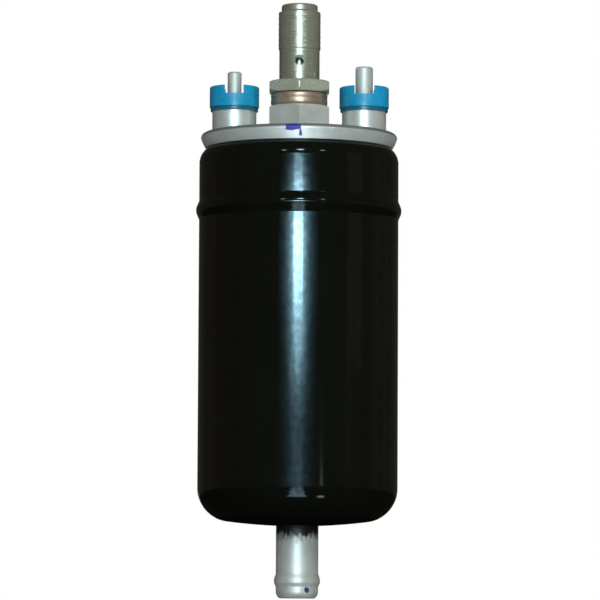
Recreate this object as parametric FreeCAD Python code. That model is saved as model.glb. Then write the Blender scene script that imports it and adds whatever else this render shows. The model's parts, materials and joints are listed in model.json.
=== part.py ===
import FreeCAD, Part
import math
import os

# Electric in-line fuel pump of the roller-cell kind, in millimetres.
# The pump's axis is Z and the outlet points up. The origin is on the axis, half way along the straight
# band of the can that a clamp holds. The terminals lie along X.

# Steel can
can_radius = 28.4
can_wall = 1.5
clamp_length = 76.8
knuckle_radius = 9.5
crown_radius = 159.0
bead_height = 4.1
bead_rise = 0.9
collar_length = 11.3
mouth_roll_radius = 6.0
mouth_roll_angle = 46.0
mouth_roll_tuck = 5.0

# Inlet pipe and its strainer
pipe_radius = 6.0
pipe_bore_radius = 4.75
inlet_length = 20.4
nose_inset = 1.1
nose_length = 1.9
barb_rise = 0.5
barb_foot = 3.3
barb_ramp = 1.1
barb_land = 1.1
barb_back = 1.5
root_flare = 0.5
pipe_collar_radius = 9.0
pipe_collar_height = 1.4
strainer_radius = 7.0
strainer_height = 5.0
strainer_wall = 0.6
strainer_windows = 6
strainer_window_width = 3.6
strainer_window_height = 3.0

# Cast end cover
rim_inset = 0.45
rim_height = 4.1
rim_waist = 2.9
rim_foot_inset = 1.35
rim_shoulder = 0.75
rim_bulge = 0.22
roof_thickness = 2.4
roof_fillet = 0.3
skirt_wall = 3.95
skirt_length = 11.5
ring_groove_depth = 2.0
ring_groove_height = 3.2
boss_across_flats = 17.0
boss_height = 8.0
post_radius = 6.3
post_height = 7.5
post_fillet = 0.4
bearing_boss_radius = 8.2
bearing_boss_gap = 1.4
web_count = 3
web_thickness = 3.0
web_height = 6.0
outlet_passage_radius = 3.5

# Outlet fitting with the check valve
outlet_thread_radius = 6.0
outlet_root_radius = 5.4
fitting_depth = 8.0
outlet_thread_length = 10.8
outlet_lead_radius = 5.15
outlet_lead_length = 2.3
outlet_lead_round = 0.6
shank_radius = 5.76
shank_length = 9.0
valve_across_flats = 17.0
valve_hex_height = 3.4
valve_bore_radius = 3.6
gallery_radius = 2.2
gallery_end = 2.0
cross_hole_radius = 1.3
cross_hole_rise = 5.6
seal_ring_radius = 8.1
seal_ring_height = 3.6
hex_corner_chamfer = 30.0
valve_seat_height = 2.6
valve_seat_bore_radius = 2.0
poppet_head_radius = 3.1
poppet_head_height = 1.2
poppet_stem_radius = 1.2
poppet_stem_length = 5.0
poppet_seal_height = 0.9
check_stroke = 2.0

# Terminals: plus on the right, minus on the left
stud_head_clearance = 0.4
plus_thread_radius = 2.5
plus_thread_length = 8.35
minus_thread_radius = 2.0
minus_thread_length = 6.75
thread_core_share = 0.84
thread_chamfer = 0.4
stud_head_radius = 3.9
stud_head_height = 1.5
bush_radius = 3.6
bush_flange_height = 1.2
cap_radius = 7.05
cap_skirt = 1.0
cap_skirt_wall = 0.65
cap_base = 1.2
cap_lobe_height = 4.9
cap_slot_depth = 2.45
plus_slot_width = 5.3
minus_slot_width = 5.8
cap_edge = 0.35
nut_pocket_radius = 4.95
plus_nut_across_flats = 8.0
minus_nut_across_flats = 7.0
lead_width = 3.0
lead_thickness = 0.6

# Pump pack: suction plate, cam ring, outlet plate and the roller cell
suction_plate_height = 7.0
cam_ring_height = 10.0
outlet_plate_height = 7.0
cam_screw_wall = 2.3
cam_offset = 1.4
roller_radius = 3.0
roller_count = 5
port_width = 3.4
port_span = 130.0
pack_screw_radius = 1.5
pack_screw_clearance = 0.4
pack_screw_count = 4
pack_screw_head_radius = 2.75
pack_screw_head_height = 2.2
pack_screw_socket_across_flats = 2.5
pack_screw_grip = 5.5
relief_bore_radius = 2.75
relief_orifice_radius = 1.3
relief_ball_radius = 2.0
relief_plug_height = 3.0
relief_socket_across_flats = 3.0
drive_pin_radius = 1.25
drive_pin_length = 14.0
thrust_button_height = 1.5
thrust_recess_depth = 4.5

# Motor
shaft_radius = 4.0
bearing_wall = 2.0
upper_bearing_length = 6.0
flux_tube_wall = 2.2
magnet_thickness = 5.0
magnet_span = 136.0
magnet_foot = 6.0
magnet_head = 5.2
clip_thickness = 0.6
clip_lug_depth = 3.0
core_foot = 10.0
core_head = 8.2
core_slots = 10
slot_depth = 5.65
tooth_width = 2.6
tooth_tip_height = 1.6
tooth_mouth = 1.6
air_gap = 0.7
winding_head = 6.0
commutator_radius = 7.5
commutator_wall = 1.6
commutator_length = 12.0
commutator_segments_count = 10
commutator_slit = 0.5
thrust_washer_height = 0.8
thrust_washer_radius = 6.4

# Brush gear
holder_height = 4.0
brush_width = 6.0
brush_height = 6.0
brush_length = 7.6
box_wall = 1.1
spring_wire = 0.5
spring_turns = 5

# Fits
pack_fit = 0.15
slip_fit = 0.1
running_fit = 0.03
press_fit = 0.02
end_float = 0.1
brush_gap = 0.15
seal_gap = 0.05

out_folder = "parts"
axis_up = FreeCAD.Vector(0, 0, 1)
origin = FreeCAD.Vector(0, 0, 0)


def save(shape, node):
    shape.exportStep(os.path.join(out_folder, node + ".step"))


def spot(corner):
    return FreeCAD.Vector(corner[0], 0, corner[1])


def on_circle(centre, radius, degrees):
    """A corner on a circle in the outline plane; 0 degrees points outwards and 90 points up."""
    turn = math.radians(degrees)
    return (centre[0] + radius * math.cos(turn), centre[1] + radius * math.sin(turn))


def bowed(start, end, rise):
    """An arc step from start to end whose middle stands out by rise to the right of the way walked."""
    along = (end[0] - start[0], end[1] - start[1])
    length = math.hypot(*along)
    middle = ((start[0] + end[0]) / 2, (start[1] + end[1]) / 2)
    return ((middle[0] + along[1] / length * rise, middle[1] - along[0] / length * rise), end)


def outline(*steps):
    """A face in the XZ plane. A step is a corner (r, z), or an arc as (corner passed, corner reached)."""
    edges = []
    here = steps[0]
    for step in steps[1:] + steps[:1]:
        if isinstance(step[0], tuple):
            passed, reached = step
            edges.append(Part.Arc(spot(here), spot(passed), spot(reached)).toShape())
        else:
            reached = step
            edges.append(Part.makeLine(spot(here), spot(reached)))
        here = reached
    return Part.Face(Part.Wire(edges))


def turned(*steps):
    """The outline turned once about the pump's axis."""
    return outline(*steps).revolve(origin, axis_up, 360)


def drum(radius, low, high, x=0.0, y=0.0):
    return Part.makeCylinder(radius, high - low, FreeCAD.Vector(x, y, low))


def tube(bore, radius, low, high, x=0.0, y=0.0):
    return drum(radius, low, high, x, y).cut(drum(bore, low, high, x, y))


def wedge(radius, low, high, first, last):
    """A slice of a cylinder between two bearings in degrees."""
    piece = Part.makeCylinder(radius, high - low, FreeCAD.Vector(0, 0, low), axis_up, last - first)
    piece.rotate(origin, axis_up, first)
    return piece


def arc_bar(bore, radius, low, high, middle, span):
    """A slice of a tube, centred on one bearing."""
    first = middle - span / 2
    last = middle + span / 2
    return wedge(radius, low, high, first, last).cut(drum(bore, low, high))


def block(x0, x1, y0, y1, z0, z1):
    return Part.makeBox(x1 - x0, y1 - y0, z1 - z0, FreeCAD.Vector(x0, y0, z0))


def turn_about_axis(shape, degrees):
    copy = shape.copy()
    copy.rotate(origin, axis_up, degrees)
    return copy


def spread(shape, count, first=0.0):
    """Copies of a shape, evenly spaced about the pump's axis."""
    return [turn_about_axis(shape, first + 360.0 * i / count) for i in range(count)]


def hexagon(across_flats, low, high, chamfer_top, chamfer_low, x=0.0, y=0.0):
    """A hexagonal prism with two flats square to X. Its corners are chamfered at the ends asked for."""
    corner = across_flats / 2 / math.cos(math.radians(30))
    points = [
        FreeCAD.Vector(
            x + corner * math.cos(math.radians(30 + 60 * i)),
            y + corner * math.sin(math.radians(30 + 60 * i)),
            low,
        )
        for i in range(7)
    ]
    prism = Part.Face(Part.makePolygon(points)).extrude(FreeCAD.Vector(0, 0, high - low))
    drop = (corner - across_flats / 2) * math.tan(math.radians(hex_corner_chamfer))
    top = high - drop if chamfer_top else high
    base = low + drop if chamfer_low else low
    keep = [(0.0, low)]
    if chamfer_low:
        keep.append((across_flats / 2, low))
    keep += [(corner, base), (corner, top)]
    if chamfer_top:
        keep.append((across_flats / 2, high))
    keep.append((0.0, high))
    barrel = turned(*keep)
    barrel.translate(FreeCAD.Vector(x, y, 0))
    return prism.common(barrel)


def coil(mean_radius, low, high, turns):
    """A compression spring of square wire along Z, from low to high."""
    pitch = (high - low - spring_wire) / turns
    path = Part.makeHelix(pitch, pitch * turns, mean_radius)
    half = spring_wire / 2
    section = Part.makePolygon(
        [
            FreeCAD.Vector(mean_radius - half, 0, -half),
            FreeCAD.Vector(mean_radius + half, 0, -half),
            FreeCAD.Vector(mean_radius + half, 0, half),
            FreeCAD.Vector(mean_radius - half, 0, half),
            FreeCAD.Vector(mean_radius - half, 0, -half),
        ]
    )
    wire = Part.Wire(path).makePipeShell([section], True, True)
    wire.translate(FreeCAD.Vector(0, 0, low + half))
    return wire


# Heights along the axis, from the can outwards
band_low = -clamp_length / 2
band_high = clamp_length / 2
bead_top = band_high + bead_height
shoulder = bead_top + collar_length
can_bore = can_radius - can_wall
pack_radius = can_bore - pack_fit
knuckle_centre = (can_radius - knuckle_radius, band_low)
rim_radius = can_radius - rim_inset
skirt_bore_radius = pack_radius - skirt_wall
straight_down = -90
crown_swing = math.degrees(math.asin(knuckle_centre[0] / (crown_radius - knuckle_radius)))
crown_centre = (0.0, band_low + math.sqrt((crown_radius - knuckle_radius) ** 2 - knuckle_centre[0] ** 2))
crown_bottom = crown_centre[1] - crown_radius
roll_centre = (can_radius - mouth_roll_radius, shoulder)
lip = on_circle(roll_centre, mouth_roll_radius, mouth_roll_angle)


def crown_height(radius, wall):
    """Height of the crown's outer skin, or of the skin wall further in, at a distance from the axis."""
    return crown_centre[1] - math.sqrt((crown_radius - wall) ** 2 - radius**2)


# Pump pack, standing on the can's inner knuckle. Its screw heads stand inside the flux tube,
# and the cam ring's bore leaves a wall beside the screws.
flux_bore = pack_radius - flux_tube_wall
pack_screw_circle = flux_bore - pack_screw_clearance - pack_screw_head_radius
cam_bore_radius = pack_screw_circle - pack_screw_radius - slip_fit - cam_screw_wall
rotor_radius = cam_bore_radius - cam_offset - slip_fit
knuckle_bore = knuckle_radius - can_wall
seat_drop = math.sqrt(knuckle_bore**2 - (knuckle_bore - pack_fit) ** 2)
suction_low = band_low - seat_drop + press_fit
suction_high = suction_low + suction_plate_height
cam_high = suction_high + cam_ring_height
outlet_high = cam_high + outlet_plate_height

# Cover, held by the rolled mouth
cover_foot = lip[1] + slip_fit
cover_top = cover_foot + rim_height
roof = cover_top - roof_thickness
skirt_foot = shoulder - skirt_length
boss_top = cover_top + boss_height
bearing_boss_top = roof - bearing_boss_gap
bearing_radius = shaft_radius + bearing_wall
upper_bearing_low = bearing_boss_top - upper_bearing_length
post_top = cover_top + post_height

# Outlet fitting
ring_top = boss_top + slip_fit + seal_ring_height
hex_foot = ring_top + slip_fit
hex_top = hex_foot + valve_hex_height
shank_top = hex_top + shank_length
thread_top = shank_top + outlet_thread_length
fitting_top = thread_top + outlet_lead_length
fitting_foot = boss_top - fitting_depth

# Terminals
terminal_pitch_radius = skirt_bore_radius - stud_head_clearance - stud_head_radius
cap_foot = post_top - cap_skirt
cap_floor = post_top + cap_base
cap_top = cap_foot + cap_skirt + cap_base + cap_lobe_height
slot_floor = cap_top - cap_slot_depth
head_top = roof - bush_flange_height
head_low = head_top - stud_head_height

# Motor
magnet_radius = flux_bore - slip_fit
magnet_bore = magnet_radius - magnet_thickness
magnet_low = outlet_high + magnet_foot
core_radius = magnet_bore - air_gap
core_back_radius = core_radius - tooth_tip_height - slot_depth
holder_low = skirt_foot - holder_height
magnet_high = holder_low - magnet_head
core_low = outlet_high + core_foot
core_high = holder_low - core_head
commutator_top = upper_bearing_low - thrust_washer_height - 2 * end_float
commutator_low = commutator_top - commutator_length
shaft_top = bearing_boss_top - end_float
button_low = suction_high - thrust_recess_depth
shaft_low = button_low + thrust_button_height + end_float
commutator_core = commutator_radius - commutator_wall


def can_shell():
    hole = pipe_radius + press_fit
    mid_crown = straight_down + crown_swing / 2
    crown_end = straight_down + crown_swing
    mid_knuckle = crown_end / 2
    skin_roll = mouth_roll_radius - can_wall
    return turned(
        (hole, crown_height(hole, 0)),
        (
            on_circle(crown_centre, crown_radius, mid_crown),
            on_circle(crown_centre, crown_radius, crown_end),
        ),
        (on_circle(knuckle_centre, knuckle_radius, mid_knuckle), (can_radius, band_low)),
        (can_radius, band_high),
        bowed((can_radius, band_high), (can_radius, bead_top), bead_rise),
        (can_radius, shoulder),
        (on_circle(roll_centre, mouth_roll_radius, mouth_roll_angle / 2), lip),
        on_circle(roll_centre, skin_roll, mouth_roll_angle),
        (on_circle(roll_centre, skin_roll, mouth_roll_angle / 2), (can_bore, shoulder)),
        (can_bore, bead_top),
        bowed((can_bore, bead_top), (can_bore, band_high), -bead_rise),
        (can_bore, band_low),
        (
            on_circle(knuckle_centre, knuckle_bore, mid_knuckle),
            on_circle(knuckle_centre, knuckle_bore, crown_end),
        ),
        (
            on_circle(crown_centre, crown_radius - can_wall, mid_crown),
            (hole, crown_height(hole, can_wall)),
        ),
    )


pipe_end = crown_bottom - inlet_length
collar_low = crown_height(pipe_collar_radius, can_wall)
collar_high = collar_low + pipe_collar_height


def inlet_pipe():
    """Turned pipe with one hose barb, flared where it meets the crown and collared inside the can."""
    barb = pipe_radius + barb_rise
    foot = pipe_end + barb_foot
    land = foot + barb_ramp
    root = crown_height(pipe_radius + root_flare, 0) - slip_fit
    return turned(
        (pipe_bore_radius, pipe_end),
        (pipe_radius - nose_inset, pipe_end),
        bowed((pipe_radius - nose_inset, pipe_end), (pipe_radius, pipe_end + nose_length), nose_inset / 4),
        (pipe_radius, foot),
        bowed((pipe_radius, foot), (barb, land), barb_rise / 6),
        (barb, land + barb_land),
        bowed((barb, land + barb_land), (pipe_radius, land + barb_land + barb_back), -barb_rise / 6),
        (pipe_radius, root - root_flare),
        bowed((pipe_radius, root - root_flare), (pipe_radius + root_flare, root), root_flare / 5),
        (pipe_radius, root),
        (pipe_radius, collar_low),
        (pipe_collar_radius, collar_low),
        (pipe_collar_radius, collar_high),
        (pipe_bore_radius, collar_high),
    )


def inlet_strainer():
    """Domed basket that stands on the pipe's collar, with windows round its wall."""
    top = collar_high + strainer_height
    inner = strainer_radius - strainer_wall
    foot = strainer_radius + strainer_wall
    basket = turned(
        (inner, collar_high),
        (foot, collar_high),
        (foot, collar_high + strainer_wall),
        (strainer_radius, collar_high + strainer_wall),
        (strainer_radius, top - strainer_wall),
        (strainer_radius - strainer_wall, top),
        (0, top),
        (0, top - strainer_wall),
        (inner, top - strainer_wall),
    )
    window_low = collar_high + 2 * strainer_wall
    window = block(
        inner - strainer_wall,
        foot,
        -strainer_window_width / 2,
        strainer_window_width / 2,
        window_low,
        min(window_low + strainer_window_height, top - 2 * strainer_wall),
    )
    return basket.cut(Part.makeCompound(spread(window, strainer_windows)))


def kidney(middle, low, high):
    """A curved port that follows the cell, with round ends."""
    centre = rotor_radius - roller_radius / 2 - port_width / 4
    half = port_width / 2
    port = arc_bar(centre - half, centre + half, low, high, middle, port_span)
    for end in (middle - port_span / 2, middle + port_span / 2):
        x, y = on_circle((0, 0), centre, end)
        port = port.fuse(drum(half, low, high, x, y))
    return port


def pack_holes(low, high):
    hole = drum(pack_screw_radius + slip_fit, low, high, pack_screw_circle)
    return Part.makeCompound(spread(hole, pack_screw_count, 180 / pack_screw_count))


def suction_plate():
    """Plate under the cell: inlet port, screw holes, the relief valve's plug bore and the thrust recess."""
    plate = drum(pack_radius, suction_low, suction_high)
    tapped = suction_high - pack_screw_grip
    for tool in (
        kidney(-90, suction_low, suction_high),
        pack_holes(tapped, suction_high),
        drum(relief_bore_radius, suction_low, suction_high, -pack_screw_circle),
        drum(shaft_radius + slip_fit * 2, button_low, suction_high),
    ):
        plate = plate.cut(tool)
    return plate


def cam_ring():
    """Ring with the eccentric bore that the rollers run on."""
    ring = drum(pack_radius, suction_high, cam_high)
    for tool in (
        drum(cam_bore_radius, suction_high, cam_high, cam_offset),
        pack_holes(suction_high, cam_high),
        drum(relief_bore_radius, suction_high, cam_high, -pack_screw_circle),
    ):
        ring = ring.cut(tool)
    return ring


def outlet_plate():
    """Plate over the cell, with the outlet port, the lower bearing's bore and the relief valve's seat."""
    plate = drum(pack_radius, cam_high, outlet_high)
    for tool in (
        kidney(90, cam_high, outlet_high),
        pack_holes(cam_high, outlet_high),
        drum(relief_orifice_radius, cam_high, outlet_high, -pack_screw_circle),
        drum(bearing_radius + press_fit, cam_high, outlet_high),
    ):
        plate = plate.cut(tool)
    return plate


def pack_screws():
    """Socket-headed screws that hold the three plates together."""
    head_low = outlet_high
    head_high = outlet_high + pack_screw_head_height
    tip = suction_high - pack_screw_grip + slip_fit * 2
    screw = drum(pack_screw_radius, tip, head_low, pack_screw_circle)
    screw = screw.fuse(drum(pack_screw_head_radius, head_low, head_high, pack_screw_circle))
    socket = hexagon(
        pack_screw_socket_across_flats,
        head_high - pack_screw_head_height / 2,
        head_high,
        False,
        False,
        pack_screw_circle,
    )
    screw = screw.cut(socket)
    return Part.makeCompound(spread(screw, pack_screw_count, 180 / pack_screw_count))


# The rollers rest far enough in to clear the narrow side of the cam ring at every bearing
roller_circle = cam_bore_radius - cam_offset - roller_radius - slip_fit


def pump_rotor():
    """Slotted rotor. Each slot is a round-bottomed U, and a groove across the top takes the drive pin."""
    low = suction_high + end_float
    high = cam_high - end_float
    half_slot = roller_radius + slip_fit / 2
    slot_floor_circle = roller_circle - slip_fit * 2
    slot = drum(half_slot, low, high, slot_floor_circle).fuse(
        block(slot_floor_circle, rotor_radius + half_slot, -half_slot, half_slot, low, high)
    )
    half_groove = drive_pin_radius + slip_fit
    groove_reach = drive_pin_length / 2 + slip_fit
    groove = block(
        -half_groove, half_groove, -groove_reach, groove_reach, high - 2 * drive_pin_radius - slip_fit, high
    )
    rotor = drum(rotor_radius, low, high)
    for tool in spread(slot, roller_count) + [groove, drum(shaft_radius + running_fit, low, high)]:
        rotor = rotor.cut(tool)
    return rotor


def pump_roller(number):
    low = suction_high + end_float
    high = cam_high - end_float
    edge = roller_radius / 10
    roller = turned(
        (0, low),
        (roller_radius - edge, low),
        (roller_radius, low + edge),
        (roller_radius, high - edge),
        (roller_radius - edge, high),
        (0, high),
    )
    roller.translate(FreeCAD.Vector(roller_circle, 0, 0))
    return turn_about_axis(roller, 360.0 * number / roller_count)


drive_pin_height = cam_high - end_float - drive_pin_radius


def drive_pin():
    start = FreeCAD.Vector(0, -drive_pin_length / 2, drive_pin_height)
    return Part.makeCylinder(drive_pin_radius, drive_pin_length, start, FreeCAD.Vector(0, 1, 0))


def thrust_button():
    return drum(shaft_radius - slip_fit, button_low, button_low + thrust_button_height)


ball_seat_drop = math.sqrt(relief_ball_radius**2 - relief_orifice_radius**2)
ball_height = cam_high - ball_seat_drop - seal_gap


def relief_ball():
    return Part.makeSphere(relief_ball_radius, FreeCAD.Vector(-pack_screw_circle, 0, ball_height))


def relief_plug():
    """Drilled plug at the foot of the relief valve's bore, with a hexagon socket."""
    low = suction_low
    high = suction_low + relief_plug_height
    plug = drum(relief_bore_radius - press_fit, low, high, -pack_screw_circle)
    plug = plug.cut(drum(relief_orifice_radius, low, high, -pack_screw_circle))
    socket = hexagon(
        relief_socket_across_flats, low, low + relief_plug_height / 2, False, False, -pack_screw_circle
    )
    return plug.cut(socket)


def relief_spring():
    low = suction_low + relief_plug_height
    high = ball_height - ball_seat_drop
    spring = coil((relief_orifice_radius + relief_ball_radius) / 2, low, high, spring_turns)
    spring.translate(FreeCAD.Vector(-pack_screw_circle, 0, 0))
    return spring


def lower_bearing():
    return tube(shaft_radius + running_fit, bearing_radius, cam_high, outlet_high)


def upper_bearing():
    return tube(shaft_radius + running_fit, bearing_radius, upper_bearing_low, bearing_boss_top)


def armature_shaft():
    """Ground shaft with chamfered ends and the cross hole for the drive pin."""
    edge = shaft_radius / 8
    shaft = turned(
        (0, shaft_low),
        (shaft_radius - edge, shaft_low),
        (shaft_radius, shaft_low + edge),
        (shaft_radius, shaft_top - edge),
        (shaft_radius - edge, shaft_top),
        (0, shaft_top),
    )
    hole = Part.makeCylinder(
        drive_pin_radius + press_fit,
        2 * shaft_radius,
        FreeCAD.Vector(0, -shaft_radius, drive_pin_height),
        FreeCAD.Vector(0, 1, 0),
    )
    return shaft.cut(hole)


def winding_slot(low, high, gap):
    """The space between two teeth, drawn in by gap on every side."""
    outer = core_radius - tooth_tip_height - gap
    half_pitch = 180.0 / core_slots
    slice_ = arc_bar(core_back_radius + gap, outer, low, high, half_pitch, 360.0 / core_slots)
    half_tooth = tooth_width / 2 + gap
    teeth = block(0, core_radius, -half_tooth, half_tooth, low, high)
    return slice_.cut(teeth).cut(turn_about_axis(teeth, 2 * half_pitch))


def armature_core():
    """Laminated core with a tooth between each two slots, and a narrow mouth over each slot."""
    core = drum(core_radius, core_low, core_high).cut(drum(shaft_radius + press_fit, core_low, core_high))
    half_mouth = tooth_mouth / 2
    reach = core_radius + slip_fit
    mouth = block(core_radius - 2 * tooth_tip_height, reach, -half_mouth, half_mouth, core_low, core_high)
    mouth = turn_about_axis(mouth, 180.0 / core_slots)
    slot = winding_slot(core_low, core_high, 0.0).fuse(mouth)
    return core.cut(Part.makeCompound(spread(slot, core_slots)))


def armature_windings():
    """Coil bundles in the slots, joined by a rounded head at each end of the core."""
    outer = core_radius - tooth_tip_height - slip_fit
    inner = bearing_radius
    bundle = winding_slot(core_low - slip_fit, core_high + slip_fit, slip_fit)
    windings = bundle
    for low, high in (
        (core_low - slip_fit - winding_head, core_low - slip_fit),
        (core_high + slip_fit, core_high + slip_fit + winding_head),
    ):
        far = low if high < core_high else high
        near = high if high < core_high else low
        steps = [(inner, near), (outer, near), bowed((outer, near), (inner, far), winding_head / 5)]
        if far > near:
            head = turned(*steps)
        else:
            head = turned(*[steps[0], steps[1], bowed(steps[1], steps[2][1], -winding_head / 5)])
        windings = windings.fuse(head)
    for piece in spread(bundle, core_slots)[1:]:
        windings = windings.fuse(piece)
    return windings


def commutator_hub():
    return tube(shaft_radius + press_fit, commutator_core, commutator_low, commutator_top)


def commutator_segments():
    """Copper bars round the moulded hub, with a riser at the winding end and a slit between each two."""
    riser = commutator_low + commutator_wall
    bars = turned(
        (commutator_core + press_fit, commutator_low),
        (commutator_radius + commutator_wall / 2, commutator_low),
        (commutator_radius + commutator_wall / 2, riser),
        (commutator_radius, riser),
        (commutator_radius, commutator_top),
        (commutator_core + press_fit, commutator_top),
    )
    half = commutator_slit / 2
    slit = block(0, 2 * commutator_radius, -half, half, commutator_low, commutator_top)
    return bars.cut(Part.makeCompound(spread(slit, commutator_segments_count)))


def thrust_washers():
    lower = outlet_high + end_float
    upper = commutator_top
    bore = shaft_radius + press_fit
    return Part.makeCompound(
        [
            tube(bore, thrust_washer_radius, lower, lower + thrust_washer_height),
            tube(bore, thrust_washer_radius, upper + press_fit, upper + press_fit + thrust_washer_height),
        ]
    )


def flux_tube():
    return tube(flux_bore, pack_radius, outlet_high, holder_low)


def field_magnet(middle):
    return arc_bar(magnet_bore, magnet_radius, magnet_low, magnet_high, middle, magnet_span)


def magnet_clips():
    """Sprung strips in the two gaps between the magnets, each a band with a lug folded in at both edges."""
    gap_span = 180.0 - magnet_span
    edge = math.degrees(2 * slip_fit / magnet_bore)
    fold = math.degrees(clip_thickness / magnet_bore)
    band_span = gap_span - 2 * edge
    clip = arc_bar(magnet_radius - clip_thickness, magnet_radius, magnet_low, magnet_high, 0, band_span)
    lug_bore = magnet_radius - clip_lug_depth
    for side in (-1, 1):
        bearing = side * (band_span / 2 - fold / 2)
        clip = clip.fuse(arc_bar(lug_bore, magnet_radius, magnet_low, magnet_high, bearing, fold))
    return Part.makeCompound(spread(clip, 2))


box_half_width = brush_width / 2 + slip_fit + box_wall
box_end = math.sqrt((skirt_bore_radius - 2 * slip_fit) ** 2 - box_half_width**2)
box_top = skirt_foot + box_wall + 2 * slip_fit + brush_height + box_wall
brush_low = skirt_foot + box_wall + slip_fit
brush_back = commutator_radius + brush_gap + brush_length
box_mouth = commutator_radius + commutator_wall / 2 + 2 * slip_fit


def brush_holder():
    """Moulded ring that sits on the flux tube and carries two open-ended brush boxes."""
    holder_bore = commutator_radius + commutator_wall / 2 + 4 * slip_fit
    holder = tube(holder_bore, pack_radius, holder_low, skirt_foot)
    cavity_half = brush_width / 2 + slip_fit
    box = block(holder_bore, box_end, -box_half_width, box_half_width, holder_low, box_top)
    cavity = block(
        box_mouth - slip_fit,
        box_end - box_wall,
        -cavity_half,
        cavity_half,
        brush_low - slip_fit,
        brush_low + brush_height + slip_fit,
    )
    for turn in (0, 180):
        holder = holder.fuse(turn_about_axis(box, turn))
    for turn in (0, 180):
        holder = holder.cut(turn_about_axis(cavity, turn))
    return holder


def brush(turn):
    """Carbon brush whose face is hollowed to the commutator's curve."""
    half = brush_width / 2
    carbon = block(0, brush_back, -half, half, brush_low, brush_low + brush_height)
    carbon = carbon.cut(drum(commutator_radius + brush_gap, brush_low, brush_low + brush_height))
    return turn_about_axis(carbon, turn)


def brush_spring(turn):
    length = box_end - box_wall - brush_back
    spring = coil(brush_width / 3, 0, length, spring_turns)
    spring.rotate(origin, FreeCAD.Vector(0, 1, 0), 90)
    spring.translate(FreeCAD.Vector(brush_back, 0, brush_low + brush_height / 2))
    return turn_about_axis(spring, turn)


def brush_lead(turn, core):
    """Copper strip from under the stud's head down to the brush box, with an eye at the stud."""
    eye_high = head_low
    eye_low = head_low - lead_thickness
    eye = drum(core * 1.5, eye_low, eye_high, terminal_pitch_radius)
    half = lead_width / 2
    leg_x = terminal_pitch_radius + core
    leg = block(leg_x, leg_x + lead_thickness, -half, half, box_top, eye_high)
    return turn_about_axis(eye.fuse(leg), turn)


def end_cover():
    """Die-cast cover: rolled-in rim, grooved skirt, hexagon boss, two posts and a webbed bearing."""
    neck_turn = mouth_roll_angle + mouth_roll_tuck
    neck_roll = mouth_roll_radius - can_wall - slip_fit
    neck = on_circle(roll_centre, neck_roll, neck_turn)
    groove_low = skirt_foot + skirt_length / 2 - ring_groove_height / 2
    groove_high = groove_low + ring_groove_height
    waist = (rim_radius, cover_foot + rim_waist)
    rim_foot = (rim_radius - rim_foot_inset, cover_foot)
    rim_edge = (rim_radius - rim_shoulder, cover_top)
    roof_corner = (skirt_bore_radius - roof_fillet, roof)
    cover = turned(
        (skirt_bore_radius, skirt_foot),
        (pack_radius, skirt_foot),
        (pack_radius, groove_low),
        (pack_radius - ring_groove_depth, groove_low),
        (pack_radius - ring_groove_depth, groove_high),
        (pack_radius, groove_high),
        (pack_radius, shoulder),
        (on_circle(roll_centre, neck_roll, neck_turn / 2), neck),
        (neck[0], cover_foot),
        rim_foot,
        bowed(rim_foot, waist, rim_foot_inset / 12),
        bowed(waist, rim_edge, rim_bulge),
        (0, cover_top),
        (0, roof),
        roof_corner,
        bowed(roof_corner, (skirt_bore_radius, roof - roof_fillet), -roof_fillet / 5),
    )
    cover = cover.fuse(hexagon(boss_across_flats, roof + roof_thickness / 2, boss_top, True, False))
    fillet_foot = (post_radius + post_fillet, cover_top)
    post = turned(
        (0, cover_top - roof_thickness / 2),
        (fillet_foot[0], cover_top - roof_thickness / 2),
        fillet_foot,
        bowed(fillet_foot, (post_radius, cover_top + post_fillet), -post_fillet / 5),
        (post_radius, post_top),
        (0, post_top),
    )
    for side in (-1, 1):
        foot = post.copy()
        foot.translate(FreeCAD.Vector(side * terminal_pitch_radius, 0, 0))
        cover = cover.fuse(foot)
    half_web = web_thickness / 2
    web = block(bearing_boss_radius - half_web, skirt_bore_radius + half_web, -half_web, half_web,
                roof - web_height, roof + half_web)
    boss = drum(bearing_boss_radius, upper_bearing_low, bearing_boss_top)
    for piece in spread(web, web_count, 90) + [boss]:
        cover = cover.fuse(piece)
    for tool in (
        drum(bearing_radius + press_fit, upper_bearing_low, bearing_boss_top),
        drum(outlet_passage_radius, roof, fitting_foot),
        drum(outlet_root_radius + press_fit, fitting_foot, boss_top),
        drum(bush_radius + press_fit, roof, post_top, terminal_pitch_radius),
        drum(bush_radius + press_fit, roof, post_top, -terminal_pitch_radius),
    ):
        cover = cover.cut(tool)
    return cover


def cover_seal():
    """Rubber ring in the cover's groove, squeezed to the width between groove and can."""
    minor = (ring_groove_depth + pack_fit) / 2 - seal_gap
    major = pack_radius - ring_groove_depth + seal_gap + minor
    centre = FreeCAD.Vector(0, 0, skirt_foot + skirt_length / 2)
    return Part.makeTorus(major, minor, centre)


def copper_ring():
    """Folded crush ring with rounded edges."""
    low = boss_top + slip_fit
    edge = seal_ring_height / 4
    bore = outlet_root_radius + slip_fit * 2
    return turned(
        (bore, low),
        (seal_ring_radius - edge, low),
        (on_circle((seal_ring_radius - edge, low + edge), edge, -45), (seal_ring_radius, low + edge)),
        (seal_ring_radius, ring_top - edge),
        (
            on_circle((seal_ring_radius - edge, ring_top - edge), edge, 45),
            (seal_ring_radius - edge, ring_top),
        ),
        (bore, ring_top),
    )


# Check valve, from its seat up
seat_top = fitting_foot + valve_seat_height
poppet_low = seat_top + seal_gap
poppet_seal_top = poppet_low + poppet_seal_height
poppet_top = poppet_seal_top + poppet_head_height
stem_top = poppet_top + poppet_stem_length
spring_stop = stem_top + check_stroke + end_float
cross_hole_height = hex_top + cross_hole_rise


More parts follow.
